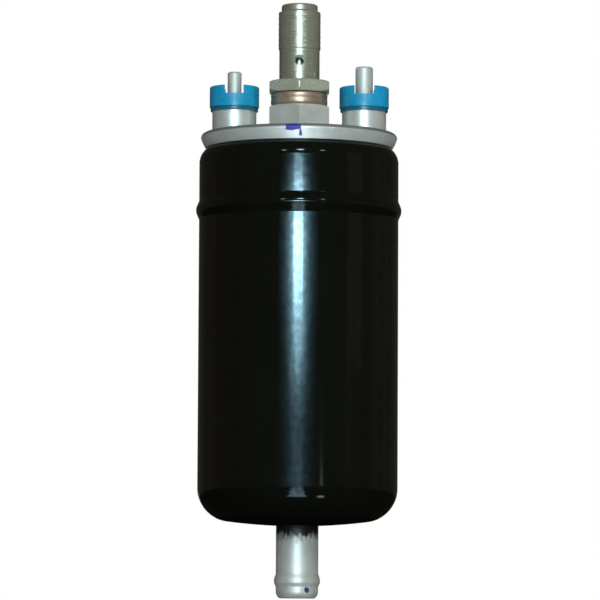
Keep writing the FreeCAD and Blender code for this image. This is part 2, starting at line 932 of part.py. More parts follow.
def check_valve_body():
    """Turned outlet fitting: screwed foot, hexagon, plain shank with the cross hole, thread and blind tip."""
    lead_top = fitting_top - outlet_lead_round
    turned_part = turned(
        (valve_bore_radius, fitting_foot),
        (outlet_root_radius, fitting_foot),
        (outlet_root_radius, hex_top),
        (shank_radius, hex_top),
        (shank_radius, shank_top),
        (outlet_thread_radius, shank_top),
        (outlet_thread_radius, thread_top),
        (outlet_lead_radius, thread_top + (outlet_thread_radius - outlet_lead_radius) / 2),
        (outlet_lead_radius, lead_top),
        (
            on_circle((outlet_lead_radius - outlet_lead_round, lead_top), outlet_lead_round, 45),
            (outlet_lead_radius - outlet_lead_round, fitting_top),
        ),
        (0, fitting_top),
        (0, cross_hole_height + gallery_end),
        (gallery_radius, cross_hole_height + gallery_end),
        (gallery_radius, spring_stop),
        (valve_bore_radius, spring_stop),
    )
    hexagon_part = hexagon(valve_across_flats, hex_foot, hex_top, True, True)
    hexagon_part = hexagon_part.cut(drum(valve_bore_radius, hex_foot, hex_top))
    hole = Part.makeCylinder(
        cross_hole_radius,
        shank_radius,
        FreeCAD.Vector(0, -shank_radius, cross_hole_height),
        FreeCAD.Vector(0, 1, 0),
    )
    return turned_part.fuse(hexagon_part).cut(hole)


def check_valve_seat():
    return tube(valve_seat_bore_radius, valve_bore_radius - press_fit, fitting_foot, seat_top)


def poppet_seal():
    return tube(poppet_stem_radius, poppet_head_radius, poppet_low, poppet_seal_top)


def check_poppet():
    """Poppet with a head above its rubber face and a stem that guides the spring."""
    edge = poppet_head_radius / 8
    return turned(
        (0, poppet_low),
        (poppet_stem_radius - press_fit, poppet_low),
        (poppet_stem_radius - press_fit, poppet_seal_top),
        (poppet_head_radius, poppet_seal_top),
        (poppet_head_radius, poppet_top - edge),
        (poppet_head_radius - edge, poppet_top),
        (poppet_stem_radius, poppet_top),
        (poppet_stem_radius, stem_top),
        (0, stem_top),
    )


def check_spring():
    mean_radius = (poppet_head_radius + poppet_stem_radius) / 2 + spring_wire
    return coil(mean_radius, poppet_top, spring_stop, spring_turns)


terminals = {
    "positive": (1, plus_thread_radius, plus_thread_length, plus_slot_width, plus_nut_across_flats),
    "negative": (-1, minus_thread_radius, minus_thread_length, minus_slot_width, minus_nut_across_flats),
}


def terminal_stud(x, radius, length):
    """Stud with a flat head inside, a neck through the cover and a free thread above its nut."""
    core = radius * thread_core_share
    top = slot_floor + length
    stud = turned(
        (0, head_low),
        (stud_head_radius, head_low),
        (stud_head_radius, head_top),
        (core, head_top),
        (core, slot_floor),
        (radius, slot_floor),
        (radius, top - thread_chamfer),
        (radius - thread_chamfer, top),
        (0, top),
    )
    stud.translate(FreeCAD.Vector(x, 0, 0))
    return stud


def terminal_bush(x, core):
    """Flanged insulating sleeve between the stud and the cover's post."""
    bush = turned(
        (core + slip_fit, head_top),
        (stud_head_radius, head_top),
        (stud_head_radius, roof),
        (bush_radius, roof),
        (bush_radius, post_top),
        (core + slip_fit, post_top),
    )
    bush.translate(FreeCAD.Vector(x, 0, 0))
    return bush


def terminal_cap(x, core, slot_width):
    """Insulating cap over the post: a short skirt, a nut pocket and a slot from front to back."""
    skirt_bore = cap_radius - cap_skirt_wall
    cap = turned(
        (skirt_bore, cap_foot),
        (cap_radius, cap_foot),
        (cap_radius, cap_top - cap_edge),
        (cap_radius - cap_edge, cap_top),
        (nut_pocket_radius, cap_top),
        (nut_pocket_radius, cap_floor),
        (core + slip_fit, cap_floor),
        (core + slip_fit, post_top),
        (skirt_bore, post_top),
    )
    half = slot_width / 2
    cap = cap.cut(block(-half, half, -2 * cap_radius, 2 * cap_radius, slot_floor, cap_top + cap_edge))
    cap.translate(FreeCAD.Vector(x, 0, 0))
    return cap


def terminal_nut(x, core, across_flats):
    nut = hexagon(across_flats, cap_floor, slot_floor, True, False)
    nut = nut.cut(drum(core + press_fit, cap_floor, slot_floor))
    nut.translate(FreeCAD.Vector(x, 0, 0))
    return nut


os.makedirs(out_folder, exist_ok=True)

for node, shape in {
    "can_shell": can_shell(),
    "inlet_pipe": inlet_pipe(),
    "inlet_strainer": inlet_strainer(),
    "end_cover": end_cover(),
    "cover_seal": cover_seal(),
    "outlet_fitting": check_valve_body(),
    "copper_ring": copper_ring(),
    "check_valve_seat": check_valve_seat(),
    "check_poppet": check_poppet(),
    "poppet_seal": poppet_seal(),
    "check_spring": check_spring(),
    "suction_plate": suction_plate(),
    "cam_ring": cam_ring(),
    "outlet_plate": outlet_plate(),
    "pack_screws": pack_screws(),
    "pump_rotor": pump_rotor(),
    "drive_pin": drive_pin(),
    "thrust_button": thrust_button(),
    "relief_ball": relief_ball(),
    "relief_spring": relief_spring(),
    "relief_plug": relief_plug(),
    "lower_bearing": lower_bearing(),
    "upper_bearing": upper_bearing(),
    "armature_shaft": armature_shaft(),
    "armature_core": armature_core(),
    "armature_windings": armature_windings(),
    "commutator_hub": commutator_hub(),
    "commutator_segments": commutator_segments(),
    "thrust_washers": thrust_washers(),
    "flux_tube": flux_tube(),
    "field_magnet_front": field_magnet(-90),
    "field_magnet_back": field_magnet(90),
    "magnet_clips": magnet_clips(),
    "brush_holder": brush_holder(),
}.items():
    save(shape, node)

for number in range(roller_count):
    save(pump_roller(number), f"pump_roller_{number + 1}")

for pole, (side, radius, length, slot_width, across_flats) in terminals.items():
    x = side * terminal_pitch_radius
    core = radius * thread_core_share
    turn = 0 if side > 0 else 180
    save(terminal_stud(x, radius, length), f"terminal_stud_{pole}")
    save(terminal_bush(x, core), f"terminal_bush_{pole}")
    save(terminal_cap(x, core, slot_width), f"terminal_cap_{pole}")
    save(terminal_nut(x, core, across_flats), f"terminal_nut_{pole}")
    save(brush(turn), f"brush_{pole}")
    save(brush_spring(turn), f"brush_spring_{pole}")
    save(brush_lead(turn, core), f"brush_lead_{pole}")
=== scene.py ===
import bmesh
import bpy
import json
import math
import numpy as np
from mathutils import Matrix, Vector


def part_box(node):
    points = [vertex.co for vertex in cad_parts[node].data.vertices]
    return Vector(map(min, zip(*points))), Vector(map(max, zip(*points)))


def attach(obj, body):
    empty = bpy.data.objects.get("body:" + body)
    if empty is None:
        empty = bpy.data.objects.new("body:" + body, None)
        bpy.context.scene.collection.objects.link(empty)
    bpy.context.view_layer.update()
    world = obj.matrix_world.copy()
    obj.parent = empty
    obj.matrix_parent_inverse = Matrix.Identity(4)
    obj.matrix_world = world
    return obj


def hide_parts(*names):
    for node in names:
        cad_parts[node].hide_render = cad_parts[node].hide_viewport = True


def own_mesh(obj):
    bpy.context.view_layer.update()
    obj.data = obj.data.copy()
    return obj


# In-line fuel pump: gloss black can, cast cover, turned outlet with its copper ring, two blue-capped studs
# and a silver hose nose. Sizes are in millimetres until a mesh is made.

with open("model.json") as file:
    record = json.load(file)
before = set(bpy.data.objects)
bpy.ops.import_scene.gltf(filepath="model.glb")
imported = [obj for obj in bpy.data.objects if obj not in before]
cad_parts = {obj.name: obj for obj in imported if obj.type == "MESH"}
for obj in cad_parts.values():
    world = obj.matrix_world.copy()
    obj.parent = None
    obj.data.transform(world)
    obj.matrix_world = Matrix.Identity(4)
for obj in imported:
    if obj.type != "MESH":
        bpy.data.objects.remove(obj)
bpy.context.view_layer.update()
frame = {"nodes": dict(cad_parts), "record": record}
scene = bpy.context.scene
mm = 0.001
fullTurn = 2 * math.pi
mergeDistance = 1e-7  # in metres: points of a mesh that are closer are one
sliver = 0.01  # what two heights or radii in mm may differ by and still count as one


# Shapes: outlines, turned skins and pieces

def arcRun(start, end, bow, count):
    # a circular arc as points: the middle stands off the chord by bow, to the right of the walk; at turn t
    # the point is the chord's middle + the chord's half * sin t / sin(half) + side * (radius cos t - sink)
    start, end = np.array(start, float), np.array(end, float)
    chord = end - start
    length = np.hypot(*chord)
    side = np.array([chord[1], -chord[0]]) / length
    radius = (length**2 / 4 + bow**2) / (2 * abs(bow))
    sink = radius - abs(bow)
    half = math.asin(min(1.0, length / 2 / radius))
    turn = np.linspace(-half, half, count)[:, None]
    along = (start + end) / 2 + chord / 2 * np.sin(turn) / math.sin(half)
    points = along + side * math.copysign(1, bow) * (radius * np.cos(turn) - sink)
    return [(r, z, 0.0) for r, z in points]


outlineSizes = {"hold": 0.06, "longRun": 2.0, "arcPoints": 6, "arcShare": 0.48}


def turnedOutline(corners):
    # every corner (r, z, rounding) turns into an arc tangent to both runs, which takes at most arcShare of
    # either; a straight run gets a point just inside each rounded end, or both ends of a long one, so that
    # its faces stay flat. The arc is centre + (first sin((1 - s) sweep) + last sin(s sweep)) / sin(sweep)
    hold, longRun, arcPoints, arcShare = outlineSizes.values()
    points = np.array([corner[:2] for corner in corners], float)
    rounding = [corner[2] for corner in corners]
    count = len(points)
    isOpen = points[0][0] == 0 and points[-1][0] == 0
    arcs = []
    for i in range(count):
        here, before, after = points[i], points[i - 1], points[(i + 1) % count]
        if rounding[i] == 0 or (isOpen and i in (0, count - 1)):
            arcs.append(here[None])
            continue
        back, on = before - here, after - here
        backLength, onLength = np.hypot(*back), np.hypot(*on)
        back, on = back / backLength, on / onLength
        opening = math.acos(np.clip(back @ on, -1, 1))
        reach = min(rounding[i] / math.tan(opening / 2), arcShare * backLength, arcShare * onLength)
        radius = reach * math.tan(opening / 2)
        centre = here + (back + on) / np.hypot(*(back + on)) * radius / math.sin(opening / 2)
        first, last = here + back * reach - centre, here + on * reach - centre
        sweep = math.pi - opening
        share = np.linspace(0, 1, arcPoints)[:, None]
        spread = np.sin((1 - share) * sweep) * first + np.sin(share * sweep) * last
        arcs.append(centre + spread / math.sin(sweep))
    outline = []
    for i in range(count):
        outline.append(arcs[i])
        if isOpen and i == count - 1:
            break
        start, end = arcs[i][-1], arcs[(i + 1) % count][0]
        length = np.hypot(*(end - start))
        if length > 4 * hold:
            if len(arcs[i]) > 1 or length > longRun:
                outline.append((start + (end - start) * hold / length)[None])
            if len(arcs[(i + 1) % count]) > 1 or length > longRun:
                outline.append((end - (end - start) * hold / length)[None])
    return np.vstack(outline)


def dense(outline, low, high, step):
    # the same outline with rows no further apart than step where it climbs between two heights
    rows = [outline[:1]]
    for a, b in zip(outline[:-1], outline[1:]):
        inside = min(a[1], b[1]) >= low - step and max(a[1], b[1]) <= high + step
        count = max(1, int(np.ceil(abs(b[1] - a[1]) / step))) if inside else 1
        share = np.arange(1, count + 1)[:, None] / count
        rows.append(a + (b - a) * share)
    return np.vstack(rows)


def newMesh(name, points, faces):
    mesh = bpy.data.meshes.new(name)
    mesh.from_pydata(points, [], faces)
    return mesh


def skinMesh(name, points, closed):
    # rows of points round an axis, joined to quads; coincident points at a pole or seam are merged
    rows, columns = points.shape[:2]
    index = np.arange(rows * columns).reshape(rows, columns)
    lower, upper = (index, np.roll(index, -1, 0)) if closed else (index[:-1], index[1:])
    quads = np.stack([lower, np.roll(lower, -1, 1), np.roll(upper, -1, 1), upper], -1).reshape(-1, 4)
    mesh = newMesh(name, (points.reshape(-1, 3) * mm).tolist(), quads.tolist())
    work = bmesh.new()
    work.from_mesh(mesh)
    bmesh.ops.remove_doubles(work, verts=work.verts, dist=mergeDistance)
    work.to_mesh(mesh)
    work.free()
    mesh.polygons.foreach_set("use_smooth", np.ones(len(mesh.polygons), bool))
    return mesh


def turnedSkin(name, outline, segments, centreX=0.0, shape=None):
    # a surface of revolution: outline point (r, z) goes round as (centreX + r cos a, r sin a, z);
    # shape(r, z, a) may return another radius, as on a hexagon or a thread
    angle = np.arange(segments) * fullTurn / segments
    radius = np.repeat(outline[:, :1], segments, 1)
    height = np.repeat(outline[:, 1:], segments, 1)
    turn = np.repeat(angle[None], len(outline), 0)
    if shape:
        radius = shape(radius, height, turn)
    points = np.stack([centreX + radius * np.cos(turn), radius * np.sin(turn), height], -1)
    closed = not (outline[0][0] == 0 and outline[-1][0] == 0)
    return skinMesh(name, points, closed)


def heights(node):
    # the lowest and the highest point of a CAD node, in mm
    return [corner[2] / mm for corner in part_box(node)]


def newObject(name, data):
    # an object in the scene, at the origin and unturned
    thing = bpy.data.objects.new(name, data)
    scene.collection.objects.link(thing)
    return thing


def addPiece(name, mesh, slot, replaced, material=None):
    # a visible piece of the pump's fixed body, in place of the CAD node that it details; its finish is the
    # slot's, unless it has its own
    piece = newObject(name, mesh)
    mesh.materials.append(material or finishes[slot])
    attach(piece, "pump_housing")
    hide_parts(replaced)
    return piece


def boxMesh(name, low, high):
    # a plain box, used only as a cutter
    corners = np.array([[x, y, z] for z in (0, 1) for y in (0, 1) for x in (0, 1)], float)
    points = (np.array(low) + corners * (np.array(high) - np.array(low))) * mm
    faces = [(0, 2, 3, 1), (4, 5, 7, 6), (0, 1, 5, 4), (2, 6, 7, 3), (0, 4, 6, 2), (1, 3, 7, 5)]
    return newMesh(name, points.tolist(), faces)


cutSizes = {"bevelAbove": 40, "sharpAbove": 35}  # degrees between two faces


def cutPiece(piece, cutterMesh, edge=0.0):
    # takes a cutter away from a piece for good; edge rounds the sharp edges that are left, in mm
    cutter = newObject(cutterMesh.name, cutterMesh)
    cut = piece.modifiers.new("cut", "BOOLEAN")
    cut.object, cut.operation, cut.solver = cutter, "DIFFERENCE", "EXACT"
    if edge:
        bevel = piece.modifiers.new("edge", "BEVEL")
        bevel.width, bevel.segments, bevel.limit_method = edge * mm, 3, "ANGLE"
        bevel.angle_limit = math.radians(cutSizes["bevelAbove"])
        bevel.use_clamp_overlap = True
    bpy.context.view_layer.update()
    settled = bpy.data.meshes.new_from_object(piece.evaluated_get(bpy.context.evaluated_depsgraph_get()))
    piece.modifiers.clear()
    piece.data = settled
    settled.polygons.foreach_set("use_smooth", np.ones(len(settled.polygons), bool))
    settled.set_sharp_from_angle(angle=math.radians(cutSizes["sharpAbove"]))
    bpy.data.objects.remove(cutter)


# Finishes: colours as sRGB hex, pattern sizes in millimetres

def linearColour(hexText):
    # sRGB hex to linear light
    value = np.array([int(hexText[i:i + 2], 16) for i in (1, 3, 5)]) / 255
    linear = np.where(value <= 0.04045, value / 12.92, ((value + 0.055) / 1.055) ** 2.4)
    return (*linear.tolist(), 1.0)


def feed(node, socket, value):
    # sets one socket to a plain value or to a colour as hex text, or links it to a node's output; a node
    # without a named output stands for the first one that its settings leave in use
    if isinstance(value, bpy.types.Node):
        value = next(output for output in value.outputs if output.enabled)
    if isinstance(value, bpy.types.NodeSocket):
        node.id_data.links.new(value, node.inputs[socket])
    else:
        node.inputs[socket].default_value = linearColour(value) if isinstance(value, str) else value


def addNode(tree, kind, sockets=(), **settings):
    # one node with its settings, and what feeds its sockets: a list in their order, or by name or number;
    # where two colours are mixed, the share is socket 0 and the colours are 6 and 7
    node = tree.nodes.new("ShaderNode" + kind)
    for name, value in settings.items():
        setattr(node, name, value)
    for socket, value in sockets.items() if isinstance(sockets, dict) else enumerate(sockets):
        feed(node, socket, value)
    return node


def newFinish(name, **values):
    # a material with its shader, and the piece's own coordinates in metres
    material = bpy.data.materials.new(name)
    material.use_nodes = True
    tree = material.node_tree
    shader = tree.nodes["Principled BSDF"]
    for socket, value in values.items():
        feed(shader, socket.replace("_", " "), value)
    place = addNode(tree, "TexCoord").outputs["Object"]
    return material, tree, shader, place


noiseSpan = (0.3, 0.7)  # nearly all values of a noise lie in here


def patternNoise(tree, place, size, detail, stretch=(1, 1, 1)):
    # noise whose grains are about size mm across, longer along an axis where stretch is above 1
    scaled = addNode(tree, "Mapping", {"Vector": place, "Scale": tuple(1 / s for s in stretch)})
    return addNode(tree, "TexNoise", {"Vector": scaled, "Scale": 1 / (size * mm), "Detail": detail})


def inMark(tree, value, edges):
    # 0 to 1 as a length goes from the first of two edges to the second, in mm
    return addNode(tree, "MapRange", [value, edges[0] * mm, edges[1] * mm])


def farFrom(tree, value, centre):
    # how far a length is from a place on its axis, in mm
    off = addNode(tree, "Math", [value, centre * mm], operation="SUBTRACT")
    return addNode(tree, "Math", [off], operation="ABSOLUTE")


def axisDistance(tree, axes):
    # how far a place is from the vertical axis
    flat = addNode(tree, "CombineXYZ", [axes["X"], axes["Y"]])
    return addNode(tree, "VectorMath", [flat], operation="LENGTH")


def turnedRings(tree, place, pitch, centreX=0.0):
    # tool marks of a lathe: noise that changes only with the height and the distance from the turned axis
    moved = addNode(tree, "Mapping", {"Vector": place, "Location": (-centreX * mm, 0, 0)})
    axes = addNode(tree, "SeparateXYZ", [moved]).outputs
    across = addNode(tree, "CombineXYZ", [axisDistance(tree, axes), axes["Z"]])
    sockets = {"Vector": across, "Scale": 1 / (pitch * mm), "Detail": 2.0}
    return addNode(tree, "TexNoise", sockets, noise_dimensions="2D")


def dent(tree, shader, height, depth):
    # relief of depth mm from a height between 0 and 1
    sockets = {"Height": height, "Distance": depth * mm, "Strength": 1.0}
    feed(shader, "Normal", addNode(tree, "Bump", sockets))


# where the marks on the finishes are, in mm: a pair goes from where a mark begins to where it is full, z is
# a height, r a distance from the axis, edge how far an outline wavers
marks = {
    "drySpray": {"r": (26.0, 23.0), "z": (-43.0, -45.0)},
    # painted shade: a dark line along the rim's upper edge, placed by its rise over the can's mouth and its
    # distance from the axis
    "brow": {"rise": (3.1, 3.4), "r": (26.9, 27.1)},  # rise over the can's mouth
    # middle and half size of its two strokes, x and z of each
    "ink": {"boxes": ((-1.6, 61.3, 2.3, 0.9), (0.35, 60.3, 0.35, 1.3)), "edge": 0.15, "y": (-19.0, -20.0)},
    "hexagonTop": (77.3, 77.7),
    "mist": {"z": (-54.4, -51.2), "edge": 1.1},
    "spot": {"x": 2.75, "z": -67.2, "radius": (0.95, 0.62), "edge": 0.12, "y": (0.0, -1.0)},
    "lip": (1.05, 1.25),  # rise over the cap's foot, where the painted shade on the lower lip ends
}


def blackEnamel():
    # stoved gloss enamel on drawn steel: near black and wet-looking, with a faint orange peel, a few dull
    # smears and a film that mottles the highlight, and dead matt with dry spray round the hose nose
    material, tree, shader, place = newFinish("blackStovedEnamel", IOR=1.5)
    feed(shader, "Specular Tint", (0.65, 0.89, 1.0, 1.0))
    smear = patternNoise(tree, place, 9.0, 4.0, (1, 1, 2.5))
    black = addNode(tree, "Mix", {0: smear, 6: "#050604", 7: "#090a07"}, data_type="RGBA")
    feed(shader, "Base Color", black)
    feed(shader, "Roughness", addNode(tree, "MapRange", [smear, 0.35, 0.75, 0.065, 0.1]))
    axes = addNode(tree, "SeparateXYZ", [place]).outputs
    inward = inMark(tree, axisDistance(tree, axes), marks["drySpray"]["r"])
    down = inMark(tree, axes["Z"], marks["drySpray"]["z"])
    dusty = addNode(tree, "Math", [inward, down], operation="MULTIPLY")
    unmarked = addNode(tree, "Math", [1.0, dusty], operation="SUBTRACT")
    mottle = patternNoise(tree, place, 1.3, 4.0, (1, 1, 1.5))
    film = addNode(tree, "MapRange", [mottle, 0.36, 0.64, 0.22, 0.35])
    feed(shader, "Specular IOR Level", addNode(tree, "Math", [film, unmarked], operation="MULTIPLY"))
    dent(tree, shader, patternNoise(tree, place, 1.6, 2.0), 0.003)
    return material


def castAluminium():
    # die-cast aluminium, shot blasted and slightly oxidised: soft grey, fine-grained and a little blotchy,
    # with painted shade as a dark grey line along the rim's upper edge
    material, tree, shader, place = newFinish("blastedCastAluminium")
    blotch = patternNoise(tree, place, 3.2, 5.0)
    grey = addNode(tree, "Mix", {0: blotch, 6: "#c6cecc", 7: "#e2e8e6"}, data_type="RGBA")
    axes = addNode(tree, "SeparateXYZ", [place]).outputs
    mouth = heights("can_shell")[1]
    upper = inMark(tree, axes["Z"], [mouth + rise for rise in marks["brow"]["rise"]])
    outer = inMark(tree, axisDistance(tree, axes), marks["brow"]["r"])
    brow = addNode(tree, "Math", [upper, outer], operation="MULTIPLY")
    # painted shade: the rim's upper edge darkened to a deeper grey
    grey = addNode(tree, "Mix", {0: brow, 6: grey, 7: "#8a9190"}, data_type="RGBA")
    ink = marks["ink"]
    edge = ink["edge"] * mm
    wobble = addNode(tree, "MapRange", [patternNoise(tree, place, 2.2, 0.0), *noiseSpan, -edge, edge])
    dabs = 0.0
    for x, z, halfX, halfZ in ink["boxes"]:  # one dab of marking ink, its two strokes with wavy edges
        farX = addNode(tree, "Math", [farFrom(tree, axes["X"], x), halfX * mm], operation="SUBTRACT")
        farZ = addNode(tree, "Math", [farFrom(tree, axes["Z"], z), halfZ * mm], operation="SUBTRACT")
        outside = addNode(tree, "Math", [farX, farZ], operation="MAXIMUM")
        outside = addNode(tree, "Math", [outside, wobble], operation="ADD")
        stroke = addNode(tree, "MapRange", [outside, edge, -edge])
        dabs = addNode(tree, "Math", [dabs, stroke], operation="MAXIMUM")
    front = inMark(tree, axes["Y"], ink["y"])
    dabs = addNode(tree, "Math", [dabs, front], operation="MULTIPLY")
    inked = addNode(tree, "Mix", {0: dabs, 6: grey, 7: "#1c1f78"}, data_type="RGBA")
    feed(shader, "Base Color", inked)
    feed(shader, "Metallic", addNode(tree, "MapRange", [dabs, 0, 1, 0.7, 0.0]))
    feed(shader, "Roughness", addNode(tree, "MapRange", [blotch, *noiseSpan, 0.34, 0.44]))
    dent(tree, shader, patternNoise(tree, place, 0.35, 3.0), 0.012)
    return material


def olivePassivate():
    # turned steel, zinc plated and passivated: green-grey with tool rings, darker and glossier above the
    # hexagon, where its plating is more metallic
    material, tree, shader, place = newFinish("olivePassivatedSteel")
    rings = turnedRings(tree, place, 0.22)
    height = addNode(tree, "SeparateXYZ", [place]).outputs["Z"]
    turned = inMark(tree, height, marks["hexagonTop"])
    feed(shader, "Metallic", addNode(tree, "MapRange", [turned, 0, 1, 0.64, 0.84]))
    blotch = patternNoise(tree, place, 2.4, 4.0)
    olive = addNode(tree, "Mix", {0: blotch, 6: "#a7ae9f", 7: "#c1c7b7"}, data_type="RGBA")
    feed(shader, "Base Color", olive)
    feed(shader, "Roughness", addNode(tree, "MapRange", [rings, *noiseSpan, 0.26, 0.36]))
    dent(tree, shader, rings, 0.0025)
    return material


def annealedCopper():
    # soft copper crush ring: pinkish brown, dulled by handling and faintly tarnished
    material, tree, shader, place = newFinish("annealedCopper", Metallic=0.85)
    tarnish = patternNoise(tree, place, 1.8, 4.0)
    brown = addNode(tree, "Mix", {0: tarnish, 6: "#b59f8c", 7: "#d8c2ac"}, data_type="RGBA")
    feed(shader, "Base Color", brown)
    feed(shader, "Roughness", addNode(tree, "MapRange", [tarnish, *noiseSpan, 0.3, 0.44]))
    dent(tree, shader, turnedRings(tree, place, 0.3), 0.008)
    return material


def brightZinc(name, centreX=0.0, dullness=(0.22, 0.34)):
    # turned steel with bright zinc: silver, slightly blue, with fine rings from the tool; handling makes it
    # duller, which is a higher pair of roughness values
    material, tree, shader, place = newFinish(name, Metallic=0.7)
    cloud = patternNoise(tree, place, 2.0, 4.0)
    silver = addNode(tree, "Mix", {0: cloud, 6: "#c4cbc8", 7: "#dfe5e3"}, data_type="RGBA")
    feed(shader, "Base Color", silver)
    feed(shader, "Roughness", addNode(tree, "MapRange", [cloud, *noiseSpan, *dullness]))
    dent(tree, shader, turnedRings(tree, place, 0.18, centreX), 0.0015)
    return material


def noseZinc():
    # the hose nose: bright zinc, with black enamel mist from the can on its root and one dark ink spot
    material, tree, shader, place = newFinish("brightZincNose")
    axes = addNode(tree, "SeparateXYZ", [place]).outputs
    cloud = patternNoise(tree, place, 2.6, 4.0)
    silver = addNode(tree, "Mix", {0: cloud, 6: "#c0c6c2", 7: "#dbe0dd"}, data_type="RGBA")
    mist = patternNoise(tree, place, 0.8, 5.0, (1, 1, 2))

    def ragged(value, edge):  # the same length, shifted by up to edge mm as the mist's noise has it
        shift = addNode(tree, "MapRange", [mist, *noiseSpan, -edge * mm, edge * mm])
        return addNode(tree, "Math", [value, shift], operation="ADD")

    sprayed = inMark(tree, ragged(axes["Z"], marks["mist"]["edge"]), marks["mist"]["z"])
    ink = marks["spot"]
    spotX = addNode(tree, "Math", [farFrom(tree, axes["X"], ink["x"]), 2.0], operation="POWER")
    spotZ = addNode(tree, "Math", [farFrom(tree, axes["Z"], ink["z"]), 2.0], operation="POWER")
    squares = addNode(tree, "Math", [spotX, spotZ], operation="ADD")
    far = addNode(tree, "Math", [squares], operation="SQRT")
    spot = inMark(tree, ragged(far, ink["edge"]), ink["radius"])
    front = inMark(tree, axes["Y"], ink["y"])
    spot = addNode(tree, "Math", [spot, front], operation="MULTIPLY")
    inked = addNode(tree, "Mix", {0: spot, 6: silver, 7: "#17324a"}, data_type="RGBA")
    misted = addNode(tree, "Mix", {0: sprayed, 6: inked, 7: "#0d0e0e"}, data_type="RGBA")
    feed(shader, "Base Color", misted)
    covered = addNode(tree, "Math", [sprayed, spot], operation="MAXIMUM")
    feed(shader, "Metallic", addNode(tree, "MapRange", [covered, 0, 1, 0.7, 0.0]))
    feed(shader, "Roughness", addNode(tree, "MapRange", [cloud, *noiseSpan, 0.42, 0.52]))
    dent(tree, shader, turnedRings(tree, place, 0.2), 0.005)
    return material


def bluePolyamide():
    # moulded blue polyamide: satin, slightly milky where light enters it, with painted shade that darkens
    # its lower lip
    material, tree, shader, place = newFinish("mouldedBluePolyamide", IOR=1.53)
    cloud = patternNoise(tree, place, 2.2, 3.0)
    blue = addNode(tree, "Mix", {0: cloud, 6: "#066e90", 7: "#0a80a8"}, data_type="RGBA")
    foot = heights("terminal_cap_positive")[0]
    height = addNode(tree, "SeparateXYZ", [place]).outputs["Z"]
    unmarked = inMark(tree, height, [foot + rise for rise in marks["lip"]])
    # painted shade: the lower lip darkened to a deep teal
    lipShaded = addNode(tree, "Mix", {0: unmarked, 6: "#064f63", 7: blue}, data_type="RGBA")
    feed(shader, "Base Color", lipShaded)
    feed(shader, "Roughness", addNode(tree, "MapRange", [cloud, *noiseSpan, 0.26, 0.34]))
    feed(shader, "Subsurface Weight", 0.06)
    feed(shader, "Subsurface Radius", (0.3, 0.8, 1.0))
    feed(shader, "Subsurface Scale", 0.6 * mm)
    dent(tree, shader, patternNoise(tree, place, 0.4, 3.0), 0.004)
    return material


roughSpread = 0.06


def innerFinish(name, dark, light, rough, grain, relief, metallic=0.0, stretch=(1, 1, 1)):
    # a part inside the can: two tones of one material over a grain, which also roughens it
    material, tree, shader, place = newFinish(name, Metallic=metallic)
    noise = patternNoise(tree, place, grain, 4.0, stretch)
    tone = addNode(tree, "Mix", {0: noise, 6: dark, 7: light}, data_type="RGBA")
    feed(shader, "Base Color", tone)
    roughness = [noise, *noiseSpan, rough - roughSpread, rough + roughSpread]
    feed(shader, "Roughness", addNode(tree, "MapRange", roughness))
    dent(tree, shader, noise, relief)
    return material


finishes = {
    "black_enamel": blackEnamel(),
    "cast_aluminium": castAluminium(),
    "passivated_steel": olivePassivate(),
    "zinc_plated_steel": brightZinc("brightZincSteel"),
    "copper": annealedCopper(),
    "blue_polyamide": bluePolyamide(),
}
# name, darker and lighter tone, roughness, grain and relief in mm, metallic, and the grain's stretch
innerFinishes = {
    # yellow metal, ringed by the tool
    "turned_brass": ("turnedBrass", "#a88748", "#cfae68", 0.28, 0.25, 0.003, 1.0, (40, 40, 1)),
    # brown and porous, dull with oil
    "sintered_bronze": ("oiledSinteredBronze", "#6f5638", "#94754a", 0.5, 0.18, 0.02, 1.0),
    # grey drawn wire
    "spring_steel": ("drawnSpringSteel", "#6d6f70", "#8f9192", 0.3, 0.2, 0.003, 1.0),
    # bright, with the fine lines of a grinding wheel
    "ground_steel": ("groundHardSteel", "#8f9192", "#b4b6b6", 0.22, 0.12, 0.002, 1.0, (30, 30, 1)),
    # dark grey in thin layers, one over the other
    "lamination_steel": ("pressedElectricalSteel", "#56585a", "#77797b", 0.4, 0.5, 0.01, 1.0, (60, 60, 1)),
    # red-brown varnish over strands that run up and down
    "enamelled_copper": ("enamelledWire", "#6e2f18", "#a8562f", 0.3, 0.6, 0.06, 1.0, (1, 1, 12)),
    # slate grey and stony
    "ferrite": ("sinteredFerrite", "#232427", "#34353a", 0.55, 0.3, 0.01),
    # nearly black, smoothed by rubbing
    "carbon": ("pressedCarbon", "#141414", "#242424", 0.45, 0.15, 0.01),
    # dark brown moulding with a slight shine
    "phenolic": ("mouldedPhenolic", "#2b1c13", "#3d2a1d", 0.4, 0.5, 0.006),
    # waxy off-white moulding
    "nylon": ("mouldedNylon", "#cfccbc", "#e2dfd0", 0.42, 0.8, 0.004),
    # matt black
    "nitrile_rubber": ("mouldedNitrileRubber", "#0c0c0c", "#181818", 0.6, 0.4, 0.006),
}
for slot, values in innerFinishes.items():
    finishes[slot] = innerFinish(*values)
for subpart in frame["record"]["subparts"]:
    for materialSlot in frame["nodes"][subpart["node"]].material_slots:
        materialSlot.material = finishes[subpart["material_slot"]]
print("finishes made:", len(finishes))


# Can: deep-drawn shell with a stop bead, a rolled mouth and a rounded foot

canSizes = {
    "radius": 28.4, "wall": 1.5, "bandLow": -38.4, "beadLow": 37.8, "beadMiddle": 40.4, "beadHigh": 43.2,
    "beadRise": 1.12, "beadCrest": 3.0, "beadFootLow": 1.2, "beadFootHigh": 0.6, "mouthRoll": 5.3,
    "mouthTurn": 53, "mouthEdge": 0.3, "knuckle": 9.5, "crown": 159.0, "hole": 6.02, "holeEdge": 0.25,
    "knucklePoints": 28, "rollPoints": 20, "plainPoints": 14, "segments": 256,
}


def circlePoints(centre, radius, first, last, count):
    # points on a circle in the outline plane, from one bearing to another in degrees
    turn = np.radians(np.linspace(first, last, count))
    across, height = centre[0] + radius * np.cos(turn), centre[1] + radius * np.sin(turn)
    return [(r, z, 0.0) for r, z in zip(across, height)]


def softened(point, rounding):
    # the same outline point with its corner rounded
    return (*point[:2], rounding)


